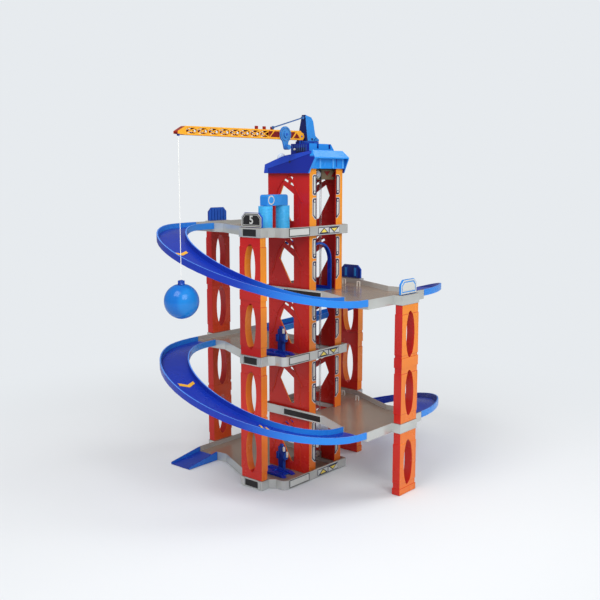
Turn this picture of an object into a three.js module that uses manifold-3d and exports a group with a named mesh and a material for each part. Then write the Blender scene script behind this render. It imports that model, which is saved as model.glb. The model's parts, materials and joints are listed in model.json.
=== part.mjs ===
// A toy parking garage: five decks round a lift tower, linked by curved ramps, with a crane on the roof.
// Millimetres, +Z up. The origin is on the floor, under the middle of the lift shaft.
// Odd decks face the front left; even decks are the same moulding turned half round.
import * as THREE from "three";
import { mergeVertices } from "three/addons/utils/BufferGeometryUtils.js";
import Module from "manifold-3d";

const wasm = await Module();
wasm.setup();

// Storeys
const levelCount = 5;
const levelSpacing = 127;
const deckRim = 19;
const floorDrop = 10;
const floorThickness = 3;
const topDeck = deckRim + (levelCount - 1) * levelSpacing;
const wall = 3;
const gap = 0.3;
const overrun = 1;
const weldReach = 0.001;

// Lift shaft and tower
const shaftX = 44;
const shaftY = 46;
const shaftFloor = 1.6;
const shaftMarginX = 12;
const shaftMarginY = 7;
const towerHalfX = shaftX + shaftMarginX;
const towerHalfY = shaftY + shaftMarginY;
const flangeWidth = 21;
const slotLength = 12;
const slotWidth = 5;
const slotTurn = -25;

// Plan of an odd deck
const laneInner = 175;
const laneWidth = 59;
const laneOuter = laneInner + laneWidth;
const jointY = 95;
const ledge = 8;
const ledgeX = towerHalfX + ledge;
const rearEdgeY = towerHalfY + ledge;
const rearBendRun = 75;
const rearBendX = rearBendRun - laneInner;
const noseRun = 25;
const noseStep = 3;
const noseX = noseRun - laneInner;
const noseY = noseStep - jointY;
const frontDepth = 43;
const frontEdgeY = -jointY - frontDepth;
const frontCorner = 12;

// Pillars
const pillarWidth = 55;
const pillarThick = 16;
const sideStand = 30;
const sideReach = sideStand - frontEdgeY;
const sideSocket = 19;
const endStand = 20;
const endReach = laneOuter + endStand;
const endOffset = 17.5;
const collarHeight = 13;
const collarStep = 1.2;
const ovalWidth = 28;
const ovalHeight = 92;
const ovalSides = 26;
const lugMargin = 2;

// Ramps
const rampFlatAngle = 20;
const rampDepth = 13;
const rampFloor = 3;
const rampSteps = 30;
const exitLength = 84;

// Signs
const signHeight = 29;
const signThick = 4;
const signCorner = 9;

// Roof
const towerRise = 105;
const roofEave = topDeck + towerRise;
const hollowRise = 14;
const roofHollow = roofEave + hollowRise;
const towerTop = roofHollow - gap;
const lipRise = 15;
const lipThick = 3;
const roofLip = roofHollow + lipRise;
const roofLipHigh = roofLip + lipThick;
const shelfRise = 13;
const roofShelf = roofLipHigh + shelfRise;
const blockRise = 14;
const roofTop = roofShelf + blockRise;
const roofMarginX = 14;
const roofMarginY = 7;
const roofMarginRear = 5;
const roofHalfX = towerHalfX + roofMarginX;
const roofHalfY = towerHalfY + roofMarginY;
const roofRearX = -towerHalfX - roofMarginRear;
const roofRearRise = 18;
const roofRearHigh = roofEave + roofRearRise;
const roofBendX = -12;
const roofBendDrop = 10;
const roofBendHigh = roofShelf - roofBendDrop;
const roofHip = 7;
const roofShelfX = roofHalfX - roofHip;
const roofLean = 8;
const roofRightY = roofHalfY - wall;
const roofRightHip = 13;
const roofFrontCut = 12;
const roofFrontFoot = roofHalfX - roofFrontCut;
const bandMargin = 4;
const bandX = towerHalfX + bandMargin;
const bandLeftY = -47;
const bandRightY = roofRightY - wall;
const bandDrop = 9;
const bandLow = roofEave + bandDrop;
const bandRib = 3;
const ribShares = [0.21, 0.62, 0.94];
const blockBack = -9;
const blockFront = 40;
const blockLeftY = -35;
const blockRightY = 34;
const blockHip = 12;
const blockSlots = [-9, 29];
const blockSlotHalf = 3.5;
const blockSlotDeep = 4;
const blockSlotHigh = 10;

// Roof button
const buttonX = -27;
const buttonInset = 16;
const buttonY = buttonInset - roofHalfY;
const buttonRadius = 8;
const buttonSeat = 6;
const buttonLow = roofHollow + buttonSeat;
const buttonRise = 20.5;
const buttonHigh = buttonLow + buttonRise;
const buttonTravel = 2.5;

// Crane
const turntableRadius = 19;
const turntableRise = 6;
const turntableHigh = roofTop + turntableRise;
const spigotRadius = 8;
const mastHalfX = 14.5;
const mastWaistHalfX = 10.4;
const mastWaistRise = 20;
const mastTopHalfX = 4.8;
const mastFront = -9.5;
const mastTopFront = -5.7;
const mastBack = 26;
const mastFootRise = 5;
const mastShoulderY = 18;
const mastShoulderRise = 11;
const mastBrowY = 17;
const mastBrowDrop = 12;
const mastCrownY = 12.5;
const mastCrownDrop = 4.5;
const mastHeight = 53;
const totalHeight = turntableHigh + mastHeight;
const jibHalf = 6;
const jibWall = 2;
const jibLift = 1.5;
const jibLow = turntableHigh + jibLift;
const jibRootDepth = 18.5;
const jibTipDepth = 15.5;
const jibRootHigh = jibLow + jibRootDepth;
const jibTipHigh = jibLow + jibTipDepth;
const jibPivotY = -18;
const jibHeel = 7.5;
const jibPivotZ = jibLow + jibHeel;
const heelRun = 3.5;
const heelTopY = jibPivotY - heelRun;
const jibTip = -351;
const jibNoseRun = 18;
const jibNose = jibTip + jibNoseRun;
const jibChord = 3;
const jibBays = 8;
const latticeClear = 45;
const pinRadius = 2;
const earHalfX = jibHalf - jibWall - gap;
const earRadius = 5;
const eyeRise = 5;
const eyeHigh = jibRootHigh + eyeRise;
const eyeSteps = [31, 53, 75];
const stayHalf = 1.1;
const stayTopY = -11;
const stayDrop = 6;
const stayTopZ = totalHeight - stayDrop;
const stayRing = 3.2;

// Winch
const winchRun = 53;
const winchY = jibPivotY - winchRun;
const winchLift = 9.5;
const winchZ = jibLow + winchLift;
const drumRadius = 4;
const crankHub = 16;
const crankArm = 25;
const crankTipRadius = 5;
const crankArmShare = 0.8;
const crankThick = 3;

// String and ball
const stringRun = 6;
const stringY = jibTip + stringRun;
const tipPinLift = 2.3;
const tipPinZ = jibLow + tipPinLift;
const swivelHalf = 1.8;
const swivelDrop = 2;
const swivelLow = jibLow - swivelDrop;
const stringDiameter = 1.2;
const capRadius = 7;
const capHeight = 8;
const ballRadius = 32;
const ballWall = 2;
const ballSeat = 30;

// Lift
const liftLevel = levelCount - 1;
const cabinClear = 2;
const cabinHalfX = shaftX - cabinClear;
const cabinFrontGap = 3;
const cabinFront = cabinFrontGap - shaftY;
const cabinBackGap = 9;
const cabinBack = shaftY - cabinBackGap;
const cabinFloor = 7;
const archHeight = 81;
const archWall = 4;
const archFoot = 6;
const archDepth = 9;
const beltX = 0;
const beltInset = 4;
const beltY = shaftY - beltInset;
const beltWidth = 6;
const beltThick = 1;
const pulleyRadius = 6;
const topPulleyDrop = 13;
const topPulleyZ = roofHollow - topPulleyDrop;
const bottomPulleyZ = 18;
const pulleyShaft = 2;
const motorHalfX = 25;
const motorFront = -30;
const motorStep = 3;
const motorLift = 6;
const motorBack = cabinBack - motorStep;
const lampDrop = 13;
const lampHousingLow = roofEave - lampDrop;
const lampHousingRise = 21;
const lampHousingHigh = lampHousingLow + lampHousingRise;
const lampBack = 26;
const lampDepth = 20;
const lampFront = lampBack + lampDepth;
const lampRadius = 6;
const lampOffset = 15;

// Car wash
const washX = 2;
const washFrontMargin = 14;
const washFrontY = frontEdgeY + washFrontMargin;
const washRearMargin = 20;
const washRearY = -towerHalfY - washRearMargin;
const rollerRadius = 14;
const rollerLow = topDeck - floorDrop + overrun;
const rollerHeight = 50;
const rollerHigh = rollerLow + rollerHeight;
const washPin = 3;
const washHeadHalf = 10;
const washHeadRise = 22;
const washHeadHigh = rollerHigh + washHeadRise;
const washHeadEnd = 5;
const washHeadCorner = 5;

// Car hoists
const hoistX = -8;
const hoistRun = 34;
const hoistY = -towerHalfY - hoistRun;
const hoistHalfX = 40;
const hoistHalfY = 19;
const hoistPlate = 5;
const hoistTrack = 11;
const hoistColumnX = -14;
const hoistColumnHalf = 7;
const hoistColumnRun = 7;
const hoistColumnY = -towerHalfY - hoistColumnRun;
const hoistColumnDeep = 9;
const hoistColumnHigh = 48;
const hoistStalk = 3;

const halfTurn = 180;
const fullTurn = 360;
const degree = Math.PI / halfTurn;
const half = 1 / 2;

const garage = new THREE.Group();

const colours = {
  silver: 0xb9b4a4,
  red: 0xc22a22,
  blue: 0x1f6fd0,
  darkBlue: 0x1c3596,
  lightBlue: 0x2f97e6,
  orange: 0xf0a02a,
  white: 0xf2f2ee,
  dark: 0x3a3936,
  clear: 0xf6e9c0,
};

function finish(colour, roughness = 0.35, metalness = 0) {
  return new THREE.MeshStandardMaterial({ color: colours[colour], roughness, metalness });
}

function deckTop(level) {
  return deckRim + (level - 1) * levelSpacing;
}

function deckFloor(level) {
  return deckTop(level) - floorDrop;
}

// Solids that can be joined and cut.
function toSolid(geometry) {
  const bare = geometry.clone();
  bare.deleteAttribute("normal");
  bare.deleteAttribute("uv");
  const merged = mergeVertices(bare, weldReach);
  return new wasm.Manifold(
    new wasm.Mesh({
      numProp: 3,
      vertProperties: merged.attributes.position.array,
      triVerts: new Uint32Array(merged.index.array),
    }),
  );
}

function toGeometry(solid) {
  const mesh = solid.getMesh();
  const geometry = new THREE.BufferGeometry();
  geometry.setAttribute("position", new THREE.BufferAttribute(mesh.vertProperties, 3));
  geometry.setIndex(new THREE.BufferAttribute(mesh.triVerts, 1));
  return geometry;
}

function join(...solids) {
  return solids.reduce((whole, piece) => whole.add(piece));
}

function cut(body, ...cutters) {
  return cutters.reduce((rest, cutter) => rest.subtract(cutter), body);
}

function shapeOf(points, holes = []) {
  const shape = new THREE.Shape(points.map(([x, y]) => new THREE.Vector2(x, y)));
  for (const hole of holes) {
    shape.holes.push(new THREE.Path(hole.map(([x, y]) => new THREE.Vector2(x, y))));
  }
  return shape;
}

function extruded(points, depth, holes) {
  return new THREE.ExtrudeGeometry(shapeOf(points, holes), { depth, bevelEnabled: false });
}

// An outline in X and Y raised from low to high.
function alongZ(points, low, high, holes) {
  return toSolid(extruded(points, high - low, holes).translate(0, 0, low));
}

// An outline in X and Z drawn out from low to high in Y.
function alongY(points, low, high, holes) {
  const turned = extruded(points, high - low, holes).rotateX(Math.PI / 2);
  return toSolid(turned.translate(0, high, 0));
}

// An outline in Y and Z drawn out from low to high in X.
function alongX(points, low, high, holes) {
  const axes = new THREE.Matrix4().makeBasis(
    new THREE.Vector3(0, 1, 0),
    new THREE.Vector3(0, 0, 1),
    new THREE.Vector3(1, 0, 0),
  );
  return toSolid(extruded(points, high - low, holes).applyMatrix4(axes).translate(low, 0, 0));
}

function box(lowX, highX, lowY, highY, lowZ, highZ) {
  const geometry = new THREE.BoxGeometry(highX - lowX, highY - lowY, highZ - lowZ);
  const middle = [(lowX + highX) / 2, (lowY + highY) / 2, (lowZ + highZ) / 2];
  return toSolid(geometry.translate(...middle));
}

function rodZ(x, y, low, high, radius, sides = 24, topRadius = radius) {
  const geometry = new THREE.CylinderGeometry(topRadius, radius, high - low, sides);
  geometry.rotateX(Math.PI / 2);
  return toSolid(geometry.translate(x, y, (low + high) / 2));
}

function rodX(y, z, low, high, radius, sides = 24) {
  const geometry = new THREE.CylinderGeometry(radius, radius, high - low, sides);
  geometry.rotateZ(Math.PI / 2);
  return toSolid(geometry.translate((low + high) / 2, y, z));
}

function rodY(x, z, low, high, radius, sides = 24) {
  const geometry = new THREE.CylinderGeometry(radius, radius, high - low, sides);
  return toSolid(geometry.translate(x, (low + high) / 2, z));
}

function arc(x, y, radius, from, to, steps) {
  return Array.from({ length: steps + 1 }, (unused, i) => {
    const angle = (from + ((to - from) * i) / steps) * degree;
    return [x + radius * Math.cos(angle), y + radius * Math.sin(angle)];
  });
}

function rectangle(lowX, highX, lowY, highY) {
  return [
    [lowX, lowY],
    [highX, lowY],
    [highX, highY],
    [lowX, highY],
  ];
}

// Moves each edge of an outline inwards by the same distance.
function inset(points, distance) {
  return points.map((point, i) => {
    const before = points[(i + points.length - 1) % points.length];
    const after = points[(i + 1) % points.length];
    const first = [point[0] - before[0], point[1] - before[1]];
    const second = [after[0] - point[0], after[1] - point[1]];
    const firstLength = Math.hypot(...first);
    const secondLength = Math.hypot(...second);
    const n1 = [-first[1] / firstLength, first[0] / firstLength];
    const n2 = [-second[1] / secondLength, second[0] / secondLength];
    const spread = 1 + n1[0] * n2[0] + n1[1] * n2[1];
    const reach = distance / spread;
    return [point[0] + (n1[0] + n2[0]) * reach, point[1] + (n1[1] + n2[1]) * reach];
  });
}

function place(name, solid, colour, parent = garage, roughness, metalness) {
  const mesh = new THREE.Mesh(toGeometry(solid), finish(colour, roughness, metalness));
  mesh.name = name;
  parent.add(mesh);
  return mesh;
}

// The group for a level: even levels are turned half round.
function levelGroup(level) {
  const group = new THREE.Group();
  if (level % 2 === 0) group.rotation.z = Math.PI;
  garage.add(group);
  return group;
}

const levels = Array.from({ length: levelCount }, (unused, i) => i + 1);
const groups = new Map(levels.map((level) => [level, levelGroup(level)]));

// Decks
function drivingOutline() {
  return [
    [-laneOuter, -jointY],
    [-laneInner, -jointY],
    [noseX, noseY],
    [-pillarWidth * half, sideSocket - sideReach],
    [pillarWidth * half, sideSocket - sideReach],
    [pillarWidth * half + frontCorner, frontEdgeY],
    ...arc(ledgeX - frontCorner, frontEdgeY + frontCorner, frontCorner, -90, 0, 5),
    [ledgeX, rearEdgeY],
    [rearBendX, rearEdgeY],
    [-laneInner, jointY],
    [-laneOuter, jointY],
  ];
}

function makeDeck(level) {
  const top = deckTop(level);
  const low = top - deckRim;
  const plan = drivingOutline();
  const tray = inset(plan, wall);
  const lug = pillarWidth * half + lugMargin;
  const sideLug = box(-lug, lug, -sideReach, sideSocket - sideReach + wall, low, top);
  const endLug = box(-endReach, wall - laneOuter, -endOffset - lug, lug - endOffset, low, top);
  const roadLow = -laneOuter + wall;
  const roadHigh = -laneInner - wall;
  const floor = top - floorDrop;
  const cutHigh = top + overrun;
  const tiled = cut(
    join(alongZ(plan, low, top), sideLug, endLug),
    alongZ(tray, floor, cutHigh),
    box(roadLow, roadHigh, -jointY - overrun, -jointY + wall * 2, floor, cutHigh),
    box(roadLow, roadHigh, jointY - wall * 2, jointY + overrun, floor, cutHigh),
    alongZ(tray, low - overrun, floor - floorThickness),
  );
  const well = box(-shaftX - wall, shaftX + wall, -shaftY - wall, shaftY + wall, low, floor - overrun);
  const shaftLow = level === 1 ? low + shaftFloor : low - overrun;
  const deck = cut(join(tiled, well), box(-shaftX, shaftX, -shaftY, shaftY, shaftLow, cutHigh));
  return level === 1 ? join(deck, ...makeBeltBracket()) : deck;
}

// The lowest deck carries the axle of the belt's lower pulley.
function makeBeltBracket() {
  const reach = pulleyRadius;
  const high = bottomPulleyZ + reach;
  return [
    box(beltX - reach, beltX + reach, shaftY, shaftY + wall, shaftFloor, high),
    rodY(beltX, bottomPulleyZ, beltY - beltWidth * half, shaftY + overrun, pulleyShaft, 16),
  ];
}

for (const level of levels) {
  place("deck_" + level, makeDeck(level), "silver", groups.get(level), 0.25, 0.1);
}

// Tower walls: a plate with a window, and a door jamb at each end.
const windowShares = [
  [-0.13, 0.64],
  [-0.22, 0.46],
  [0.05, 0.07],
  [0.125, 0.07],
  [0.125, 0.5],
];
const slotShares = [
  [0.055, 0.76],
  [-0.055, 0.71],
  [0.09, 0.65],
];

function makeTowerWall(level) {
  const low = deckFloor(level) + gap;
  const next = deckTop(level + 1) - floorDrop - floorThickness - gap;
  const high = level === levelCount ? towerTop : next;
  const width = towerHalfX * 2;
  const window = windowShares.map(([x, z]) => [x * width, deckTop(level) + z * levelSpacing]);
  const plate = alongY(rectangle(-towerHalfX, towerHalfX, low, high), -towerHalfY, wall - towerHalfY, [
    window,
  ]);
  const slots = slotShares.map(([x, z]) => {
    const slot = new THREE.BoxGeometry(slotLength, wall * 2, slotWidth);
    slot.rotateY(-slotTurn * degree);
    const centreZ = deckTop(level) + z * levelSpacing;
    return toSolid(slot.translate(x * width, wall * half - towerHalfY, centreZ));
  });
  const jambLow = flangeWidth - towerHalfY;
  return cut(
    join(
      plate,
      box(towerHalfX - wall, towerHalfX, -towerHalfY, jambLow, low, high),
      box(-towerHalfX, wall - towerHalfX, -towerHalfY, jambLow, low, high),
    ),
    ...slots,
  );
}

for (const level of levels) {
  const solid = makeTowerWall(level);
  place("tower_wall_left_" + level, solid, "red");
  place("tower_wall_right_" + level, solid, "red").rotation.z = Math.PI;
}

// Pillars: slabs with an oval hole in each storey and a collar at each seam.
function ovalOutline(centreZ) {
  return Array.from({ length: ovalSides }, (unused, i) => {
    const turn = (i / ovalSides) * 2 * Math.PI;
    return [ovalWidth * half * Math.cos(turn), centreZ + ovalHeight * half * Math.sin(turn)];
  });
}

function makePillar(low, high, storeys, footed) {
  const halfWidth = pillarWidth * half;
  const halfThick = pillarThick * half;
  const storey = (high - low) / storeys;
  const holes = Array.from({ length: storeys }, (unused, i) => ovalOutline(low + storey * (i + half)));
  const slab = alongY(rectangle(-halfWidth, halfWidth, low, high), -halfThick, halfThick, holes);
  const collars = [];
  for (let seam = footed ? 0 : 1; seam < storeys; seam += 1) {
    const centre = low + storey * seam;
    const lowZ = Math.max(low, centre - collarHeight * half);
    const reachX = halfWidth + collarStep;
    const reachY = halfThick + collarStep;
    collars.push(box(-reachX, reachX, -reachY, reachY, lowZ, centre + collarHeight));
  }
  const ovals = holes.map((hole) => alongY(hole, -pillarThick, pillarThick));
  return collars.length ? cut(join(slab, ...collars), ...ovals) : slab;
}

function addPillar(name, side, level, low, high, storeys, footed = false) {
  const mesh = place(name, makePillar(low, high, storeys, footed), "red", groups.get(level));
  if (side === "side") {
    mesh.position.y = pillarThick * half + collarStep - sideReach;
  } else {
    mesh.rotation.z = Math.PI / 2;
    mesh.position.x = pillarThick * half + collarStep - endReach;
    mesh.position.y = -endOffset;
  }
  return mesh;
}

for (const [name, level] of [
  ["lower", 1],
  ["upper", 3],
]) {
  const low = deckTop(level) + gap;
  const high = deckTop(level + 2) - deckRim - gap;
  addPillar("front_left_pillar_" + name, "side", level, low, high, 2);
  addPillar("rear_left_pillar_" + name, "end", level, low, high, 2);
}
const firstUnderside = deckTop(2) - deckRim - gap;
addPillar("front_right_foot", "end", 2, 0, firstUnderside, 1, true);
addPillar("rear_right_foot", "side", 2, 0, firstUnderside, 1, true);
const secondUnderside = deckTop(4) - deckRim - gap;
addPillar("front_right_pillar", "end", 2, deckTop(2) + gap, secondUnderside, 2);
addPillar("rear_right_pillar", "side", 2, deckTop(2) + gap, secondUnderside, 2);

// Signs stand on the top lugs.
function makeSign(level) {
  const low = deckTop(level) + gap;
  const high = low + signHeight;
  const reach = pillarWidth * half;
  return alongY(
    [
      [-reach, low],
      [reach, low],
      [reach, high - signCorner],
      [reach - signCorner, high],
      [signCorner - reach, high],
      [-reach, high - signCorner],
    ],
    -signThick * half,
    signThick * half,
  );
}

for (const [name, side, level] of [
  ["front_left_sign", "side", levelCount],
  ["rear_left_sign", "end", levelCount],
  ["front_right_sign", "end", levelCount - 1],
  ["rear_right_sign", "side", levelCount - 1],
]) {
  const mesh = place(name, makeSign(level), "darkBlue", groups.get(level));
  if (side === "side") {
    mesh.position.y = pillarThick * half - sideReach;
  } else {
    mesh.rotation.z = Math.PI / 2;
    mesh.position.x = pillarThick * half - endReach;
    mesh.position.y = -endOffset;
  }
}

// Ramps: a channel swept half round, level at first and then falling one storey.
function rampFall(angle) {
  const share = Math.max(0, (angle - rampFlatAngle) / (halfTurn - rampFlatAngle));
  return levelSpacing * share * share * (3 - 2 * share);
}

function channelSection() {
  return [
    [laneInner, -rampDepth],
    [laneOuter, -rampDepth],
    [laneOuter, 0],
    [laneOuter - wall, 0],
    [laneOuter - wall, rampFloor - rampDepth],
    [laneInner + wall, rampFloor - rampDepth],
    [laneInner + wall, 0],
    [laneInner, 0],
  ];
}

function makeRamp(level) {
  const section = channelSection();
  const count = section.length;
  const caps = THREE.ShapeUtils.triangulateShape(shapeOf(section).getPoints(), []);
  const positions = [];
  const index = [];
  for (let step = 0; step <= rampSteps; step += 1) {
    const angle = (step * halfTurn) / rampSteps;
    const top = deckTop(level) - rampFall(angle);
    for (const [radius, lift] of section) {
      positions.push(
        -radius * Math.cos(angle * degree),
        -jointY - gap - radius * Math.sin(angle * degree),
        top + lift,
      );
    }
  }
  for (let step = 0; step < rampSteps; step += 1) {
    for (let i = 0; i < count; i += 1) {
      const a = step * count + i;
      const b = step * count + ((i + 1) % count);
      index.push(a, b + count, b, a, a + count, b + count);
    }
  }
  const last = rampSteps * count;
  for (const [a, b, c] of caps) {
    index.push(a, b, c);
    index.push(c + last, b + last, a + last);
  }
  const geometry = new THREE.BufferGeometry();
  geometry.setAttribute("position", new THREE.Float32BufferAttribute(positions, 3));
  geometry.setIndex(index);
  return toSolid(geometry);
}

for (const level of levels.slice(1)) {
  place("ramp_" + level + "_to_" + (level - 1), makeRamp(level), "blue", groups.get(level), 0.2);
}

// The exit ramp runs straight from the lowest deck to the ground.
function makeExitRamp() {
  const start = -jointY - gap;
  const end = start - exitLength;
  const floor = deckFloor(1);
  const lip = rampFloor * half;
  const side = [
    [end, 0],
    [start, 0],
    [start, deckTop(1)],
    [end, lip + wall],
  ];
  const road = [
    [end - overrun, lip],
    [start + overrun, floor],
    [start + overrun, deckTop(1) + overrun],
    [end - overrun, deckTop(1) + overrun],
  ];
  return cut(
    alongX(side, -laneOuter, -laneInner),
    alongX(road, wall - laneOuter, -laneInner - wall),
  );
}

place("exit_ramp", makeExitRamp(), "blue", garage, 0.2);

// Roof: rises from the rear to a lipped front, and is open below to sit over the tower.
function makeRoof() {
  const sideView = [
    [roofRearX, roofEave],
    [roofFrontFoot, roofEave],
    [roofHalfX, roofLip],
    [roofHalfX, roofLipHigh],
    [roofShelfX, roofShelf],
    [roofBendX, roofBendHigh],
    [roofRearX, roofRearHigh],
  ];
  const frontView = [
    [-roofHalfY, roofEave],
    [roofRightY, roofEave],
    [roofRightY, roofLipHigh],
    [roofRightY - roofRightHip, roofShelf],
    [roofLean - roofHalfY, roofShelf],
  ];
  const body = alongY(sideView, -roofHalfY, roofHalfY).intersect(alongX(frontView, roofRearX, roofHalfX));
  const block = alongX(
    [
      [blockLeftY, roofBendHigh - wall],
      [blockRightY + blockHip, roofBendHigh - wall],
      [blockRightY + blockHip, roofShelf],
      [blockRightY, roofTop],
      [blockLeftY, roofTop],
    ],
    blockBack,
    blockFront,
  );
  const slots = blockSlots.map((y) => {
    const slotLow = roofTop - blockSlotHigh;
    const slotBack = blockFront - blockSlotDeep;
    const slotFront = blockFront + overrun;
    return box(slotBack, slotFront, y - blockSlotHalf, y + blockSlotHalf, slotLow, roofTop + overrun);
  });
  const ribs = ribShares.map((share) => {
    const centre = bandLeftY + share * (bandRightY - bandLeftY);
    const halfRib = bandRib * half;
    return box(bandX - overrun, bandX + halfRib, centre - halfRib, centre + halfRib, bandLow, roofLip);
  });
  const hollowX = bandX - wall * half;
  const hollowY = towerHalfY + wall * half;
  const outerX = roofHalfX + overrun;
  const shell = cut(
    join(body, block),
    box(bandX, outerX, bandLeftY, bandRightY, bandLow - overrun, roofLip),
    box(bandX - wall - overrun, outerX, -hollowY, hollowY, roofEave - overrun, bandLow),
    box(-hollowX, bandX - wall, -hollowY, hollowY, roofEave - overrun, roofHollow),
    rodZ(0, 0, roofHollow - overrun, roofTop + overrun, spigotRadius + gap),
    rodZ(buttonX, buttonY, buttonLow - buttonTravel - gap, buttonHigh + overrun, buttonRadius + gap),
    ...slots,
  );
  return join(shell, ...ribs);
}

place("roof_shell", makeRoof(), "blue", garage, 0.3);

function makeRoofButton() {
  const dome = arc(0, buttonHigh - buttonRadius, buttonRadius, 0, 90, 5);
  const points = [[0, buttonLow], [buttonRadius, buttonLow], ...dome];
  const profile = points.map(([x, y]) => new THREE.Vector2(x, y));
  profile[profile.length - 1].x = 0;
  const geometry = new THREE.LatheGeometry(profile, 20);
  geometry.rotateX(Math.PI / 2);
  return toSolid(geometry.translate(buttonX, buttonY, 0));
}

place("roof_button", makeRoofButton(), "clear", garage, 0.15);

// Crane turntable: a disc on a spigot, a step for the mast and an ear with the jib's pin.
function makeTurntable() {
  const low = roofTop + gap;
  const earLow = jibPivotY - earRadius;
  return join(
    rodZ(0, 0, low, turntableHigh, turntableRadius, 40),
    rodZ(0, 0, roofHollow + overrun, roofTop + overrun, spigotRadius),
    box(-mastHalfX, mastHalfX, mastFront, mastBack, low, turntableHigh),
    box(-earHalfX, earHalfX, earLow, jibPivotY + earRadius, low, jibPivotZ),
    rodX(jibPivotY, jibPivotZ, -earHalfX, earHalfX, earRadius),
    rodX(jibPivotY, jibPivotZ, -jibHalf, jibHalf, pinRadius, 16),
  );
}

place("crane_turntable", makeTurntable(), "darkBlue");

// Mast: a tapered post on a stepped foot, with a small ear for the stay.
function makeMast() {
  const low = turntableHigh + gap;
  const side = [
    [mastFront, low],
    [mastBack, low],
    [mastBack, turntableHigh + mastFootRise],
    [mastShoulderY, turntableHigh + mastShoulderRise],
    [mastBrowY, totalHeight - mastBrowDrop],
    [mastCrownY, totalHeight - mastCrownDrop],
    [mastTopFront, totalHeight],
  ];
  const waist = turntableHigh + mastWaistRise;
  const face = [
    [-mastHalfX, low],
    [mastHalfX, low],
    [mastWaistHalfX, waist],
    [mastTopHalfX, totalHeight],
    [-mastTopHalfX, totalHeight],
    [-mastWaistHalfX, waist],
  ];
  const post = alongX(side, -mastHalfX, mastHalfX).intersect(alongY(face, mastFront, mastBack));
  const reach = stayRing * half;
  return join(
    post,
    box(-reach, reach, stayTopY - reach, 0, stayTopZ - reach, stayTopZ + reach),
    rodX(stayTopY, stayTopZ, 0, reach + gap + stayHalf * 2, pinRadius * half, 12),
  );
}

place("crane_mast", makeMast(), "lightBlue");

// Jib: a lattice girder open below, with a round heel on its pin and three eyes on top.
function jibTopAt(y) {
  return jibTipHigh + ((jibRootHigh - jibTipHigh) * (y - jibNose)) / (heelTopY - jibNose);
}

function braceHoles(from, to) {
  const low = jibLow + jibChord;
  const high = (y) => jibTopAt(y) - jibChord;
  const bar = jibChord * half;
  const y0 = from + bar;
  const y1 = to - bar;
  const middleY = (from + to) / 2;
  const middleZ = (low + high(middleY)) / 2;
  return [
    [[y0 + bar, low], [y1 - bar, low], [middleY, middleZ - bar]],
    [[y1 - bar, high(y1)], [y0 + bar, high(y0)], [middleY, middleZ + bar]],
    [[y0, high(y0) - bar], [y0, low + bar], [middleY - bar, middleZ]],
    [[y1, low + bar], [y1, high(y1) - bar], [middleY + bar, middleZ]],
  ];
}

function makeJib() {
  const outline = [
    [jibTip, jibLow + jibChord * half],
    [jibNose, jibLow],
    ...arc(jibPivotY, jibPivotZ, jibHeel, -90, 90, 10),
    [heelTopY, jibRootHigh],
    [jibNose, jibTipHigh],
    [jibTip, jibLow + jibChord * 2],
  ];
  const lattice = [];
  const latticeEnd = winchY - latticeClear;
  for (let bay = 0; bay < jibBays; bay += 1) {
    const pitch = (latticeEnd - jibNose) / jibBays;
    lattice.push(...braceHoles(jibNose + bay * pitch, jibNose + (bay + 1) * pitch));
  }
  const girder = alongX(outline, -jibHalf, jibHalf);
  const holes = lattice.map((points) => alongX(points, -jibHalf - overrun, jibHalf + overrun));
  const inner = jibHalf - jibWall;
  const rootEnd = jibPivotY + jibHeel + overrun;
  const channel = alongX(
    [
      [jibTip - overrun, jibLow - overrun],
      [rootEnd, jibLow - overrun],
      [rootEnd, jibRootHigh + overrun],
      [heelTopY, jibRootHigh + overrun],
      [heelTopY, jibRootHigh - jibWall * 2],
      [jibNose, jibTipHigh - jibWall],
      [jibTip - overrun, jibLow + jibChord],
    ],
    -inner,
    inner,
  );
  const eyes = eyeSteps.map((step) => {
    const y = winchY - step;
    const reach = stayRing;
    return box(-stayRing * half, stayRing * half, y - reach, y + reach, jibTopAt(y) - overrun, eyeHigh);
  });
  return join(
    cut(
      girder,
      ...holes,
      channel,
      rodX(winchY, winchZ, -jibHalf - overrun, jibHalf + overrun, pinRadius + gap, 16),
      rodX(jibPivotY, jibPivotZ, -jibHalf - overrun, jibHalf + overrun, pinRadius + gap, 16),
    ),
    ...eyes,
    rodX(stringY, tipPinZ, -jibHalf + overrun * half, jibHalf - overrun * half, pinRadius * half, 12),
  );
}

place("crane_jib", makeJib(), "orange");

// Stay: a thin rod with a ring at each end, beside the eyes on the jib.
function makeStay() {
  const near = stayRing * half + gap;
  const far = near + stayHalf * 2;
  const endY = winchY - eyeSteps[0];
  const endZ = eyeHigh - stayRing * half;
  const length = Math.hypot(stayTopY - endY, stayTopZ - endZ);
  const bar = new THREE.BoxGeometry(stayHalf * 2, length - stayRing, stayHalf * 2);
  bar.rotateX(Math.atan2(stayTopZ - endZ, stayTopY - endY));
  bar.translate((near + far) / 2, (stayTopY + endY) / 2, (stayTopZ + endZ) / 2);
  return cut(
    join(
      toSolid(bar),
      rodX(stayTopY, stayTopZ, near, far, stayRing, 16),
      rodX(endY, endZ, near, far, stayRing, 16),
    ),
    rodX(stayTopY, stayTopZ, near - overrun, far + overrun, pinRadius * half + gap, 12),
    rodX(endY, endZ, near - overrun, far + overrun, pinRadius * half + gap, 12),
  );
}

place("stay_rod", makeStay(), "lightBlue");

// Winch: a drum between the jib's cheeks, on a shaft that carries the crank.
const crankLow = jibHalf + gap;
const crankHigh = crankLow + crankThick;
place(
  "winch_drum",
  join(
    rodX(winchY, winchZ, jibWall + gap - jibHalf, jibHalf - jibWall - gap, drumRadius),
    rodX(winchY, winchZ, -jibHalf, crankHigh, pinRadius, 16),
  ),
  "white",
);

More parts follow.
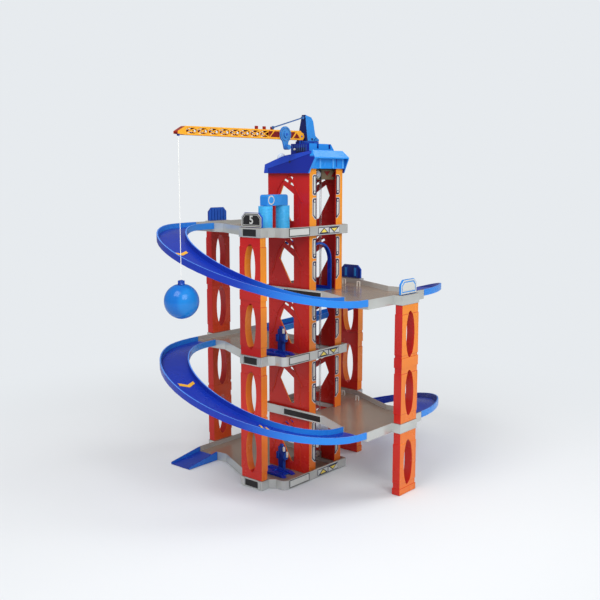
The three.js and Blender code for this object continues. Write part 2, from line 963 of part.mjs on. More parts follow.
function makeCrank() {
  const tip = winchZ - crankArm;
  const arm = alongX(
    [
      [winchY - crankTipRadius, tip],
      [winchY + crankTipRadius, tip],
      [winchY + crankHub * crankArmShare, winchZ],
      [winchY - crankHub * crankArmShare, winchZ],
    ],
    crankLow,
    crankHigh,
  );
  return cut(
    join(
      rodX(winchY, winchZ, crankLow, crankHigh, crankHub, 32),
      arm,
      rodX(winchY, tip, crankLow, crankHigh * 2, crankTipRadius, 20),
    ),
    rodX(winchY, winchZ, crankLow - overrun, crankHigh + overrun, pinRadius + gap, 16),
  );
}

place("winch_crank", makeCrank(), "lightBlue");

// The swivel hangs on the pin in the jib's tip, and the string hangs from it.
const swivelTop = tipPinZ + swivelHalf + gap;
place(
  "string_swivel",
  cut(
    box(-swivelHalf, swivelHalf, stringY - swivelHalf, stringY + swivelHalf, swivelLow, swivelTop),
    rodX(stringY, tipPinZ, -swivelHalf - overrun, swivelHalf + overrun, pinRadius * half + gap, 12),
  ),
  "darkBlue",
);

// The string's route: how far each of its points hangs below the swivel.
const stringDrops = [0, 16, 36, 56, 76, 96, 116, 136, 156, 176, 196, 216, 236, 254.6];
const stringRoute = stringDrops.map((drop) => new THREE.Vector3(0, stringY, swivelLow - gap - drop));
const stringEnd = stringRoute[stringRoute.length - 1];

function makeString() {
  const radius = stringDiameter * half;
  const sides = 8;
  const ring = arc(0, 0, radius, 0, fullTurn, sides).slice(1);
  const path = new THREE.LineCurve3(stringRoute[0], stringEnd);
  const steps = stringRoute.length - 1;
  return toSolid(new THREE.ExtrudeGeometry(shapeOf(ring), { steps, bevelEnabled: false, extrudePath: path }));
}

place("string", makeString(), "white");

// The ball is round with a flat on top for its cap.
const capHigh = stringEnd.z - gap;
const capLow = capHigh - capHeight;
const ballZ = capLow - gap - ballSeat;
place("ball_cap", rodZ(0, stringY, capLow, capHigh, capRadius, 20, capRadius * half), "darkBlue");

function sphere(radius) {
  return toSolid(new THREE.SphereGeometry(radius, 32, 20).rotateX(Math.PI / 2).translate(0, stringY, ballZ));
}

place(
  "ball",
  cut(
    sphere(ballRadius),
    sphere(ballRadius - ballWall),
    rodZ(0, stringY, ballZ, ballZ + ballRadius + overrun, capRadius * half, 16),
    box(
      -capRadius * 2,
      capRadius * 2,
      stringY - capRadius * 2,
      stringY + capRadius * 2,
      capLow - gap,
      ballZ + ballRadius * 2,
    ),
  ),
  "blue",
  garage,
  0.2,
);

// Lift cabin
const cabinLow = deckFloor(liftLevel) - cabinFloor;
const cabinTop = deckFloor(liftLevel);
const clampEnd = beltY - beltWidth * half - gap;
place(
  "lift_platform",
  join(
    box(-cabinHalfX, cabinHalfX, cabinFront, cabinBack, cabinLow, cabinTop),
    box(pulleyRadius - wall, pulleyRadius + wall, cabinBack - overrun, clampEnd, cabinLow, cabinTop),
  ),
  "lightBlue",
);

function makeArch() {
  const low = cabinTop + gap;
  const reach = (cabinBack - cabinFront) * half;
  const middle = (cabinBack + cabinFront) * half;
  const bend = low + archHeight - reach * half;
  const hoop = (radius, rise, foot) => [
    [middle + radius, foot],
    ...arc(0, 0, 1, 0, 180, 16).map(([y, z]) => [middle + y * radius, bend + z * rise]),
    [middle - radius, foot],
  ];
  const outer = hoop(reach, reach, low);
  const innerReach = reach - archWall;
  const inner = hoop(innerReach, reach - archWall, low - overrun);
  const reachX = cabinHalfX + overrun;
  const whole = cut(alongX(outer, -cabinHalfX, cabinHalfX), alongX(inner, -reachX, reachX));
  const openEnd = cabinHalfX - archDepth;
  return cut(
    whole,
    box(-openEnd, openEnd, cabinFront - overrun, cabinBack + overrun, low + archFoot, low + archHeight * 2),
  );
}

place("lift_arch", makeArch(), "blue");

// Lift drive: a flat belt round two pulleys, and a motor under the roof.
function stadium(radius) {
  return [
    ...arc(beltX, topPulleyZ, radius, 0, 180, 10),
    ...arc(beltX, bottomPulleyZ, radius, 180, 360, 10),
  ];
}

const beltLow = beltY - beltWidth * half;
const beltHigh = beltY + beltWidth * half;
place(
  "lift_belt",
  alongY(stadium(pulleyRadius + gap + beltThick), beltLow, beltHigh, [stadium(pulleyRadius + gap)]),
  "dark",
);
place(
  "top_pulley",
  join(
    rodY(beltX, topPulleyZ, beltLow, beltHigh, pulleyRadius),
    rodY(beltX, topPulleyZ, motorBack + gap, beltHigh + overrun, pulleyShaft, 16),
  ),
  "white",
);
place(
  "bottom_pulley",
  cut(
    rodY(beltX, bottomPulleyZ, beltLow, beltHigh, pulleyRadius),
    rodY(beltX, bottomPulleyZ, beltLow - overrun, beltHigh + overrun, pulleyShaft + gap, 16),
  ),
  "white",
);
place(
  "lift_motor",
  box(-motorHalfX, motorHalfX, motorFront, motorBack, lampHousingLow + motorLift, roofHollow - gap),
  "dark",
);
place(
  "lamp_housing",
  box(lampBack, lampFront, wall + gap - towerHalfY, towerHalfY - wall - gap, lampHousingLow, lampHousingHigh),
  "silver",
);
const lampZ = (lampHousingLow + lampHousingHigh) / 2;
const lampLens = rodX(-lampOffset, lampZ, lampFront + gap, lampFront + wall, lampRadius, 20);
place("lift_lamp", lampLens, "clear", garage, 0.1);

// Car wash: a head on two pins, with a roller turning round each pin.
const washFloor = deckFloor(levelCount);
function makeWashHead() {
  const lowY = washFrontY - washHeadEnd;
  const highY = washRearY + washHeadEnd;
  const low = rollerHigh + gap;
  const corner = washHeadCorner;
  const loaf = alongX(
    [
      [lowY, low],
      [highY, low],
      ...arc(highY - corner, washHeadHigh - corner, corner, 0, 90, 5),
      ...arc(lowY + corner, washHeadHigh - corner, corner, 90, 180, 5),
    ],
    washX - washHeadHalf,
    washX + washHeadHalf,
  );
  return join(
    loaf,
    rodZ(washX, washFrontY, washFloor + gap, low + overrun, washPin, 16),
    rodZ(washX, washRearY, washFloor + gap, low + overrun, washPin, 16),
  );
}

place("wash_head", makeWashHead(), "lightBlue");
for (const [name, y] of [
  ["front", washFrontY],
  ["rear", washRearY],
]) {
  const roller = cut(
    rodZ(washX, y, rollerLow, rollerHigh, rollerRadius, 32),
    rodZ(washX, y, rollerLow - overrun, rollerHigh + overrun, washPin + gap, 16),
  );
  place("wash_roller_" + name, roller, "lightBlue");
}

// Car hoists on the first and third decks
for (const level of levels.filter((value) => value % 2 === 1 && value < levelCount)) {
  const floor = deckFloor(level) + gap;
  const columnLowY = hoistColumnY - hoistColumnDeep * half;
  const columnHighY = hoistColumnY + hoistColumnDeep * half;
  const column = box(
    hoistColumnX - hoistColumnHalf,
    hoistColumnX + hoistColumnHalf,
    columnLowY,
    columnHighY,
    floor,
    floor + hoistColumnHigh,
  );
  place("hoist_column_" + level, column, "darkBlue");
  const plateTop = floor + hoistPlate;
  const tracks = [-1, 1].map((side) => {
    const centre = hoistY + side * (hoistHalfY - hoistTrack * half);
    return alongY(
      [
        [hoistX - hoistHalfX, floor],
        [hoistX + hoistHalfX, floor],
        [hoistX + hoistHalfX - hoistTrack, plateTop],
        [hoistX - hoistHalfX + hoistTrack, plateTop],
      ],
      centre - hoistTrack * half,
      centre + hoistTrack * half,
    );
  });
  const deckPlate = box(
    hoistX - hoistHalfX + hoistTrack,
    hoistX + hoistHalfX - hoistTrack,
    hoistY - hoistHalfY + overrun,
    hoistY + hoistHalfY - overrun,
    floor,
    floor + hoistPlate * half,
  );
  const tongue = box(
    hoistColumnX - hoistStalk,
    hoistColumnX + hoistStalk,
    hoistY,
    columnLowY - gap,
    floor,
    floor + hoistPlate,
  );
  place("hoist_platform_" + level, join(deckPlate, ...tracks, tongue), "blue");
}

export default garage;
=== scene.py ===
import json
import math

import bpy
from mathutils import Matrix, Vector

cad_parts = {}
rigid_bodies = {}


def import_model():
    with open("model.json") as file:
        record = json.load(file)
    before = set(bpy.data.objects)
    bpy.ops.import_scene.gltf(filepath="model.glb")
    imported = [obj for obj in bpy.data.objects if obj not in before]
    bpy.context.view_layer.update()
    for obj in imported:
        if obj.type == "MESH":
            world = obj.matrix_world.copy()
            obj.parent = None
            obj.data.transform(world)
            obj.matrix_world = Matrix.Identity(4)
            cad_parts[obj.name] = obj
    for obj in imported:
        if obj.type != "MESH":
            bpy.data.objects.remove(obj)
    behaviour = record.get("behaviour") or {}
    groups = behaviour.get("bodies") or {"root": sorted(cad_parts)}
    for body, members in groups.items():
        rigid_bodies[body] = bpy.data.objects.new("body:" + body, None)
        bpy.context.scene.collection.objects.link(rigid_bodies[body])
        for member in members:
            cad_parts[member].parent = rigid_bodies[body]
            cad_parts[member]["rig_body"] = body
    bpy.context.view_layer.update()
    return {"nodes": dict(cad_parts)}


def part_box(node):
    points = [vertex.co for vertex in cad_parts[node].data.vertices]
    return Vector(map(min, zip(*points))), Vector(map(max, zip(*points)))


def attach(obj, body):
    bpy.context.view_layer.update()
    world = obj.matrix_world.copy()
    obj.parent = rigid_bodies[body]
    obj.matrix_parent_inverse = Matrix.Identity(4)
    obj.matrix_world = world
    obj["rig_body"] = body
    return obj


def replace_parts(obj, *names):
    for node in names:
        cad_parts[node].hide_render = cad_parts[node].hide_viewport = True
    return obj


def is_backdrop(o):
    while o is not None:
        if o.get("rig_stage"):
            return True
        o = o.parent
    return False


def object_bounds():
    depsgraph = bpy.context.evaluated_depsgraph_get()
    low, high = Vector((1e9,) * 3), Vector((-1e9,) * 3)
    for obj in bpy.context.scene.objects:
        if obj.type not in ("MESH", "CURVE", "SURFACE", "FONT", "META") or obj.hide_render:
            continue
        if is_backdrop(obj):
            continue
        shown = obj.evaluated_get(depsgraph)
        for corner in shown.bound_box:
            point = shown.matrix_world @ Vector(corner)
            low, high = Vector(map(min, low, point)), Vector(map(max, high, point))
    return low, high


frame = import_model()

# A toy parking garage in glossy moulded plastic. Metres, +Z up, the same frame as the solids.

MM = 0.001
STOREY = 0.127
RIM = 0.019
FLOOR_DROP = 0.010
LEVELS = (1, 2, 3, 4, 5)
ODD_LEVELS = (1, 3, 5)
EVEN_LEVELS = (2, 4)
HOIST_LEVELS = (1, 3)


def rim_top(level):
    """Height of the top of a deck's rim."""
    return RIM + (level - 1) * STOREY


def floor_top(level):
    """Height of a deck's floor."""
    return rim_top(level) - FLOOR_DROP


# Camera, at the photograph's angle

CAMERA_TURN = math.radians(40.63)
CAMERA_RISE = math.radians(8.40)
CAMERA_SPAN = 1.79566
AIM_SIDE = -0.01102
AIM_HEIGHT = 0.36654
FOCAL_PIXELS = 848.39
PICTURE_PIXELS = 600
SENSOR = 36
NEAR_CLIP = 0.05
FAR_CLIP = 30


def make_camera():
    data = bpy.data.cameras.new("photo_camera")
    data.sensor_width = SENSOR
    data.lens = SENSOR * FOCAL_PIXELS / PICTURE_PIXELS
    data.clip_start = NEAR_CLIP
    data.clip_end = FAR_CLIP
    camera = bpy.data.objects.new("photo_camera", data)
    bpy.context.scene.collection.objects.link(camera)
    across = Vector((math.cos(CAMERA_TURN), math.sin(CAMERA_TURN), 0))
    back = Vector((
        math.sin(CAMERA_TURN) * math.cos(CAMERA_RISE),
        -math.cos(CAMERA_TURN) * math.cos(CAMERA_RISE),
        math.sin(CAMERA_RISE),
    ))
    camera.location = Vector((0, 0, AIM_HEIGHT)) + across * AIM_SIDE + back * CAMERA_SPAN
    camera.rotation_euler = (math.pi / 2 - CAMERA_RISE, 0, CAMERA_TURN)
    bpy.context.scene.camera = camera


make_camera()


# Node materials

def srgb(red, green, blue):
    """A screen colour, 0 to 255 in each channel, as linear light."""
    def linear(value):
        share = value / 255
        return share / 12.92 if share <= 0.04045 else ((share + 0.055) / 1.055) ** 2.4
    return (linear(red), linear(green), linear(blue), 1)


BLACK = (0.0, 0.0, 0.0, 1)
FLOW_SCALE = 26.0
FLOW_DETAIL = 3.0
GRAIN_SCALE = 900.0
GRAIN_STRENGTH = 0.25
GRAIN_DEPTH = 0.00004
MIX_SHARE, MIX_FIRST, MIX_SECOND, MIX_RESULT = 0, 6, 7, 2


class Recipe:
    """A node material that is built up step by step."""

    def __init__(self, name):
        self.material = bpy.data.materials.new(name)
        self.material.use_nodes = True
        self.tree = self.material.node_tree
        self.shader = self.tree.nodes["Principled BSDF"]
        self.place = self.node("ShaderNodeTexCoord")

    def node(self, kind, **settings):
        made = self.tree.nodes.new(kind)
        for key, value in settings.items():
            setattr(made, key, value)
        return made

    def link(self, source, target):
        self.tree.links.new(source, target)

    def feed(self, socket, value):
        """Gives a socket a constant, or the output of another node."""
        if isinstance(value, (int, float, tuple)):
            socket.default_value = value
        else:
            self.link(value, socket)

    def set(self, **values):
        for key, value in values.items():
            self.shader.inputs[key.replace("_", " ")].default_value = value

    def noise(self, scale, detail=2.0):
        made = self.node("ShaderNodeTexNoise")
        self.link(self.place.outputs["Object"], made.inputs["Vector"])
        made.inputs["Scale"].default_value = scale
        made.inputs["Detail"].default_value = detail
        return made.outputs["Fac"]

    def span(self, source, low, high, out_low, out_high):
        """Maps low to out_low and high to out_high, with a soft step between them."""
        made = self.node("ShaderNodeMapRange")
        made.interpolation_type = "SMOOTHSTEP"
        self.link(source, made.inputs["Value"])
        limits = {"From Min": low, "From Max": high, "To Min": out_low, "To Max": out_high}
        for key, value in limits.items():
            made.inputs[key].default_value = value
        return made.outputs["Result"]

    def mix(self, share, first, second):
        made = self.node("ShaderNodeMix", data_type="RGBA")
        for index, value in ((MIX_SHARE, share), (MIX_FIRST, first), (MIX_SECOND, second)):
            self.feed(made.inputs[index], value)
        return made.outputs[MIX_RESULT]

    def maths(self, operation, first, second=0):
        made = self.node("ShaderNodeMath", operation=operation)
        for socket, value in zip(made.inputs, (first, second)):
            self.feed(socket, value)
        return made.outputs[0]

    def axis(self, output, letter):
        made = self.node("ShaderNodeSeparateXYZ")
        self.link(self.place.outputs[output], made.inputs[0])
        return made.outputs[letter]

    def facing(self, letter, low, high):
        """Rises from 0 to 1 as a face turns towards an axis."""
        return self.span(self.axis("Normal", letter), low, high, 0, 1)

    def bump(self, height, strength, distance):
        made = self.node("ShaderNodeBump")
        made.inputs["Strength"].default_value = strength
        made.inputs["Distance"].default_value = distance
        self.link(height, made.inputs["Height"])
        self.link(made.outputs["Normal"], self.shader.inputs["Normal"])

    def colour(self, source):
        self.link(source, self.shader.inputs["Base Color"])

    def moulded(self, roughness=0.24, spread=0.06):
        """The finish of glossy injection moulding: even gloss, faint flow marks and a very fine grain."""
        flow = self.noise(FLOW_SCALE, FLOW_DETAIL)
        gloss = self.span(flow, 0.3, 0.7, roughness - spread, roughness + spread)
        self.link(gloss, self.shader.inputs["Roughness"])
        self.bump(self.noise(GRAIN_SCALE, 1.0), GRAIN_STRENGTH, GRAIN_DEPTH)


SOFT_GLOSS = 0.3
LOW_HEIGHT = 0.02
FULL_HEIGHT = 0.62
CLOUD_SCALE = 14.0
CLOUD_DETAIL = 4.0
CLOUD_DEPTH = 0.06


def plastic(name, colour, side=None, low=None, low_lit_side=None, roughness=0.24, split=(0.45, 0.75)):
    """Glossy plastic. colour is that of the faces in shade; side is painted light, the lighter colour of
    faces turned to +X, as lit from that side. low, and the lit side's own low colour, hold near the floor.
    """
    recipe = Recipe(name)
    base = colour
    if low:
        height = recipe.span(recipe.axis("Object", "Z"), LOW_HEIGHT, FULL_HEIGHT, 0, 1)
        base = recipe.mix(height, low, colour)
    # Painted light: faces turned to +X blend to the lighter colour of the lit side.
    if side:
        facing = recipe.facing("X", *split)
        edge = recipe.mix(height, low_lit_side, side) if low_lit_side else side
        base = recipe.mix(facing, base, edge)
    cloud = recipe.span(recipe.noise(CLOUD_SCALE, CLOUD_DETAIL), 0.3, 0.7, 0, CLOUD_DEPTH)
    recipe.colour(recipe.mix(cloud, base, BLACK))
    recipe.moulded(roughness)
    recipe.set(Specular_IOR_Level=SOFT_GLOSS)
    return recipe.material


# Painted light: where a second colour is given, it is the lighter colour of faces turned to +X, the lit
# side, and the first is the shaded colour.
RED_LIT_SIDE = plastic(
    "tower_red", srgb(186, 30, 32), srgb(238, 150, 44),
    low=srgb(204, 42, 30), low_lit_side=srgb(232, 116, 40), split=(0.72, 0.86),
)
# Painted shade: this red's +X side stays nearly as dark as the rest, as on the rear-left pillars in the
# tower's shadow; the wall ribs share it.
RED_DIM_SIDE = plastic(
    "pillar_red_dim_side", srgb(182, 28, 30), srgb(192, 36, 30), low=srgb(196, 36, 28), low_lit_side=srgb(220, 84, 36),
)
# Painted light: the second colour of each blue, and of the lamp panel, is the lighter colour of its faces
# turned to +X, the lit side.
DARK_BLUE_LIT_SIDE = plastic("dark_blue", srgb(24, 42, 132), srgb(34, 88, 190))
BAND_BLUE_LIT_SIDE = plastic("roof_band_blue_lit_side", srgb(34, 66, 176), srgb(40, 130, 220))
LIGHT_BLUE_LIT_SIDE = plastic("light_blue", srgb(40, 130, 214), srgb(50, 148, 230))
BALL_BLUE_LIT_SIDE = plastic("ball_blue_lit_side", srgb(22, 108, 196), srgb(32, 130, 212), roughness=0.16)
MAST_BLUE_LIT_SIDE = plastic("mast_blue_lit_side", srgb(22, 30, 88), srgb(42, 134, 214), split=(0.3, 0.6))
HOIST_BLUE_LIT_SIDE = plastic("hoist_blue_lit_side", srgb(18, 46, 164), srgb(32, 90, 200))
ROLLER_BLUE = plastic("roller_blue", srgb(84, 198, 250))
EXIT_BLUE_LIT_SIDE = plastic(
    "exit_ramp_blue_lit_side", srgb(22, 54, 160), srgb(40, 110, 210), split=(0.35, 0.95), roughness=0.3,
)
# Painted highlight: a light blue for the caps on the roof's front ribs.
RIB_HIGHLIGHT_BLUE = plastic("rib_highlight_blue", srgb(84, 172, 244))
STAY_BLUE_LIT_SIDE = plastic("stay_blue_lit_side", srgb(54, 88, 140), srgb(66, 104, 158))
CRANK_BLUE_LIT_SIDE = plastic("crank_blue_lit_side", srgb(40, 104, 186), srgb(62, 134, 204))
WHITE = plastic("white_plastic", srgb(228, 226, 218), roughness=0.35)
PALE = plastic("pale_label", srgb(206, 208, 204), roughness=0.3)
GOLD = plastic("gold_mark", srgb(236, 176, 52), roughness=0.3)
YELLOW = plastic("arrow_yellow", srgb(238, 216, 96), roughness=0.3)
DARK = plastic("dark_plastic", srgb(36, 35, 36), roughness=0.4)
NAVY = plastic("navy_label", srgb(26, 28, 72), roughness=0.3)
DEEP_RED = plastic("deep_red", srgb(120, 22, 24), roughness=0.35)
LAMP_PANEL_LIT_SIDE = plastic("lamp_panel", srgb(92, 80, 62), srgb(108, 94, 72), roughness=0.3)
STRING = plastic("string_twine", srgb(240, 240, 236), roughness=0.7)


RAMP_AXIS = 0.0953
RAMP_FLOOR = (0.1778, 0.2308)
RIM_HIGHLIGHT_BLUR = 0.0006


def make_ramp_blue():
    """Deep blue, with painted light: lighter where a ramp faces +X, as its lit side, and a painted
    highlight along the tops of its rims.
    """
    recipe = Recipe("ramp_blue")
    facing = recipe.facing("X", 0.35, 0.95)
    upward = recipe.facing("Z", 0.6, 0.8)
    x = recipe.axis("Object", "X")
    y = recipe.maths("SUBTRACT", recipe.maths("ABSOLUTE", recipe.axis("Object", "Y")), RAMP_AXIS)
    square = recipe.maths("ADD", recipe.maths("MULTIPLY", x, x), recipe.maths("MULTIPLY", y, y))
    radius = recipe.maths("SQRT", square)
    inner, outer = RAMP_FLOOR
    inside = recipe.span(radius, inner - RIM_HIGHLIGHT_BLUR, inner, 1, 0)
    outside = recipe.span(radius, outer, outer + RIM_HIGHLIGHT_BLUR, 0, 1)
    # Painted highlight along the tops of the rims.
    rim_highlight = recipe.maths("MULTIPLY", upward, recipe.maths("MAXIMUM", inside, outside))
    walls_with_lit_side = recipe.mix(facing, srgb(20, 50, 164), srgb(40, 132, 224))
    recipe.colour(recipe.mix(rim_highlight, walls_with_lit_side, srgb(84, 140, 226)))
    recipe.moulded(0.3)
    recipe.set(Specular_IOR_Level=SOFT_GLOSS)
    return recipe.material


# Where the front of the roof takes the lit side's light blue: painted light.
LIT_ROOF_FRONT_X = (0.0570, 0.0576)
LIT_ROOF_FRONT_HALF = (0.0535, 0.0545)


def make_roof_blue():
    """Dark blue, with painted light: light blue on faces turned to +X, as the lit side, and on all of the
    front over the lift's door, the sides of its ribs too.
    """
    recipe = Recipe("roof_blue")
    facing = recipe.facing("X", 0.35, 0.7)
    ahead = recipe.span(recipe.axis("Object", "X"), *LIT_ROOF_FRONT_X, 0, 1)
    aside = recipe.span(recipe.maths("ABSOLUTE", recipe.axis("Object", "Y")), *LIT_ROOF_FRONT_HALF, 1, 0)
    front = recipe.maths("MAXIMUM", facing, recipe.maths("MULTIPLY", ahead, aside))
    recipe.colour(recipe.mix(front, srgb(24, 40, 140), srgb(34, 140, 228)))
    recipe.moulded(0.24)
    recipe.set(Specular_IOR_Level=SOFT_GLOSS)
    return recipe.material


GIRDER_SIDE = (0.0050, 0.0056)
GIRDER_TOP = (0.7125, 0.7135)
GIRDER_EYES = (0.7146, 0.7152)


def make_orange():
    """Orange outside, with painted light: a lighter yellow orange on faces turned to +X, as the lit side;
    the inner faces of the girder and its eyes are dark red.
    """
    recipe = Recipe("crane_orange")
    outer = recipe.span(recipe.maths("ABSOLUTE", recipe.axis("Object", "X")), *GIRDER_SIDE, 0, 1)
    height = recipe.axis("Object", "Z")
    chord = recipe.span(height, *GIRDER_TOP, 0, 1)
    eyes = recipe.span(height, *GIRDER_EYES, 1, 0)
    upper = recipe.maths("MULTIPLY", chord, eyes)
    # Painted light: faces turned to +X are lighter, as the lit side.
    facing = recipe.facing("X", 0.3, 0.7)
    orange_lit_side = recipe.mix(facing, srgb(218, 122, 36), srgb(242, 170, 44))
    recipe.colour(recipe.mix(recipe.maths("MAXIMUM", outer, upper), srgb(150, 34, 24), orange_lit_side))
    recipe.moulded(0.26)
    recipe.set(Specular_IOR_Level=0.35)
    return recipe.material


def make_silver():
    """Silver grey rims round floors of a warmer grey brown."""
    recipe = Recipe("deck_silver")
    floor = recipe.facing("Z", 0.6, 0.9)
    base = recipe.mix(floor, srgb(196, 199, 196), srgb(166, 145, 127))
    cloud = recipe.span(recipe.noise(9.0, 3.0), 0.35, 0.65, 0, 0.16)
    recipe.colour(recipe.mix(cloud, base, srgb(112, 97, 86)))
    recipe.moulded(0.2, 0.05)
    recipe.set(Metallic=0.35)
    return recipe.material


def see_through(name, scale, pale, deep, roughness, spread, passing, bending):
    """Clear plastic that lets part of the light pass."""
    recipe = Recipe(name)
    cloud = recipe.span(recipe.noise(scale), 0.4, 0.6, 0, 0.3)
    recipe.colour(recipe.mix(cloud, pale, deep))
    recipe.moulded(roughness, spread)
    recipe.set(Transmission_Weight=passing, IOR=bending)
    return recipe.material


RAMP_BLUE_WITH_PAINTED_LIGHT = make_ramp_blue()
ROOF_BLUE_LIT_FRONT = make_roof_blue()
ORANGE_LIT_SIDE = make_orange()
SILVER = make_silver()
CLEAR = see_through("clear_lens", 300.0, srgb(226, 232, 244), srgb(190, 205, 230), 0.1, 0.03, 0.6, 1.46)
BUTTON = plastic("button_white", srgb(214, 226, 244), roughness=0.16)
BELT = see_through("belt_nylon", 200.0, srgb(236, 236, 238), srgb(222, 224, 230), 0.2, 0.04, 0.9, 1.2)


# Floor, backdrop and lamps

BACKDROP = (0.80, 0.83, 0.86, 1)
FLOOR_COLOUR = (0.76, 0.78, 0.8, 1)
PLAIN_LIGHT = (1, 1, 1, 1)
WORLD_LIGHT = 0.55
GLOSS_LIGHT = 0.26
FADE_START = 0.35
FADE_END = 1.25
FLOOR_SIZE = 9
FLOOR_HEIGHT = -0.0006
LAMP_AIM = Vector((0, 0, 0.35))
# Name, place, width and power of each lamp
LAMPS = (
    ("key_lamp", (1.9, -0.9, 1.7), 1.3, 26),
    ("fill_lamp", (0.1, -1.9, 2.5), 1.5, 38),
    ("back_lamp", (1.3, 1.7, 2.3), 1.4, 20),
)


def floor_paint():
    """A pale floor that fades into the backdrop's colour away from the object."""
    paint = bpy.data.materials.new("studio_floor")
    paint.use_nodes = True
    tree = paint.node_tree
    shader = tree.nodes["Principled BSDF"]
    shader.inputs["Base Color"].default_value = FLOOR_COLOUR
    shader.inputs["Roughness"].default_value = 0.8
    shader.inputs["Specular IOR Level"].default_value = 0.1
    far = tree.nodes.new("ShaderNodeEmission")
    far.inputs["Color"].default_value = BACKDROP
    place = tree.nodes.new("ShaderNodeTexCoord")
    reach = tree.nodes.new("ShaderNodeVectorMath")
    reach.operation = "LENGTH"
    fade = tree.nodes.new("ShaderNodeMapRange")
    fade.interpolation_type = "SMOOTHSTEP"
    fade.inputs["From Min"].default_value = FADE_START
    fade.inputs["From Max"].default_value = FADE_END
    blend = tree.nodes.new("ShaderNodeMixShader")
    ray = tree.nodes.new("ShaderNodeLightPath")
    seen = tree.nodes.new("ShaderNodeMath")
    seen.operation = "MULTIPLY"
    tree.links.new(place.outputs["Object"], reach.inputs[0])
    tree.links.new(reach.outputs["Value"], fade.inputs["Value"])
    tree.links.new(fade.outputs["Result"], seen.inputs[0])
    tree.links.new(ray.outputs["Is Camera Ray"], seen.inputs[1])
    tree.links.new(seen.outputs[0], blend.inputs[0])
    tree.links.new(shader.outputs[0], blend.inputs[1])
    tree.links.new(far.outputs[0], blend.inputs[2])
    tree.links.new(blend.outputs[0], tree.nodes["Material Output"].inputs["Surface"])
    return paint


def light_the_world():
    """The camera sees the backdrop's colour, glossy rays a dim white and all others a soft white."""
    world = bpy.data.worlds.new("studio")
    bpy.context.scene.world = world
    world.use_nodes = True
    tree = world.node_tree
    plain = tree.nodes["Background"]
    plain.inputs["Color"].default_value = PLAIN_LIGHT
    plain.inputs["Strength"].default_value = WORLD_LIGHT
    dim = tree.nodes.new("ShaderNodeBackground")
    dim.inputs["Color"].default_value = PLAIN_LIGHT
    dim.inputs["Strength"].default_value = GLOSS_LIGHT
    seen = tree.nodes.new("ShaderNodeBackground")
    seen.inputs["Color"].default_value = BACKDROP
    ray = tree.nodes.new("ShaderNodeLightPath")
    either = tree.nodes.new("ShaderNodeMath")
    either.operation = "MAXIMUM"
    gloss = tree.nodes.new("ShaderNodeMixShader")
    mixer = tree.nodes.new("ShaderNodeMixShader")
    tree.links.new(ray.outputs["Is Glossy Ray"], gloss.inputs[0])
    tree.links.new(plain.outputs[0], gloss.inputs[1])
    tree.links.new(dim.outputs[0], gloss.inputs[2])
    tree.links.new(ray.outputs["Is Camera Ray"], either.inputs[0])
    tree.links.new(ray.outputs["Is Transmission Ray"], either.inputs[1])
    tree.links.new(either.outputs[0], mixer.inputs[0])
    tree.links.new(gloss.outputs[0], mixer.inputs[1])
    tree.links.new(seen.outputs[0], mixer.inputs[2])
    tree.links.new(mixer.outputs[0], tree.nodes["World Output"].inputs["Surface"])


def lay_the_floor():
    bpy.ops.object.select_all(action="DESELECT")
    bpy.ops.mesh.primitive_plane_add(size=FLOOR_SIZE, location=(0, 0, FLOOR_HEIGHT))
    floor = bpy.context.active_object
    floor.name = "studio_floor"
    floor.data.materials.append(floor_paint())
    floor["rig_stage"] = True


def hang_the_lamps():
    for name, place, size, power in LAMPS:
        data = bpy.data.lights.new(name, "AREA")
        data.size = size
        data.energy = power
        lamp = bpy.data.objects.new(name, data)
        bpy.context.scene.collection.objects.link(lamp)
        lamp.location = place
        aim = LAMP_AIM - Vector(place)
        lamp.rotation_euler = aim.to_track_quat("-Z", "Y").to_euler()


bpy.context.scene.view_settings.view_transform = "Standard"
light_the_world()
lay_the_floor()
hang_the_lamps()


# Helpers for making pieces

MERGE_REACH = 0.00002
FLAT_ANGLE = math.radians(1)


def deselect():
    bpy.ops.object.select_all(action="DESELECT")


def editing(on):
    bpy.ops.object.mode_set(mode="EDIT" if on else "OBJECT")


def pick_all():
    bpy.ops.mesh.select_all(action="SELECT")


def settle(name, material, body):
    """Gives the active piece its name, finish and body, with its place in its mesh."""
    piece = bpy.context.active_object
    bpy.ops.object.transform_apply(location=True, rotation=True, scale=True)
    piece.name = name
    piece.data.name = name
    piece.data.materials.clear()
    piece.data.materials.append(material)
    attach(piece, body)
    return piece


def rounded(piece, width, segments=2, angle=30):
    bevel = piece.modifiers.new("rounded", "BEVEL")
    bevel.width = width
    bevel.segments = segments
    bevel.limit_method = "ANGLE"
    bevel.angle_limit = math.radians(angle)
    bevel.use_clamp_overlap = True
    bpy.ops.object.modifier_apply(modifier=bevel.name)


def even_shading(piece):
    """Smooth round faces, and large flat faces that stay flat next to their rounded edges."""
    bpy.ops.object.shade_smooth_by_angle(angle=math.radians(35))
    weighted = piece.modifiers.new("even_shading", "WEIGHTED_NORMAL")
    weighted.keep_sharp = True
    bpy.ops.object.modifier_apply(modifier=weighted.name)


def dressed(node, material, width, shaping=None):
    """A copy of a solid with its loose triangles merged, its flat faces joined and its edges rounded."""
    deselect()
    solid = frame["nodes"][node]
    piece = bpy.data.objects.new(node + "_shell", solid.data.copy())
    bpy.context.scene.collection.objects.link(piece)
    piece.select_set(True)
    bpy.context.view_layer.objects.active = piece
    editing(True)
    pick_all()
    bpy.ops.mesh.remove_doubles(threshold=MERGE_REACH)
    bpy.ops.mesh.customdata_custom_splitnormals_clear()
    bpy.ops.mesh.dissolve_limited(angle_limit=FLAT_ANGLE)
    editing(False)
    if shaping:
        shaping(piece, node)
    if width:
        rounded(piece, width)
    even_shading(piece)
    piece.data.materials.clear()
    piece.data.materials.append(material)
    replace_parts(piece, node)
    body = solid["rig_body"]
    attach(piece, body)
    return piece


# The hanging string is a cord

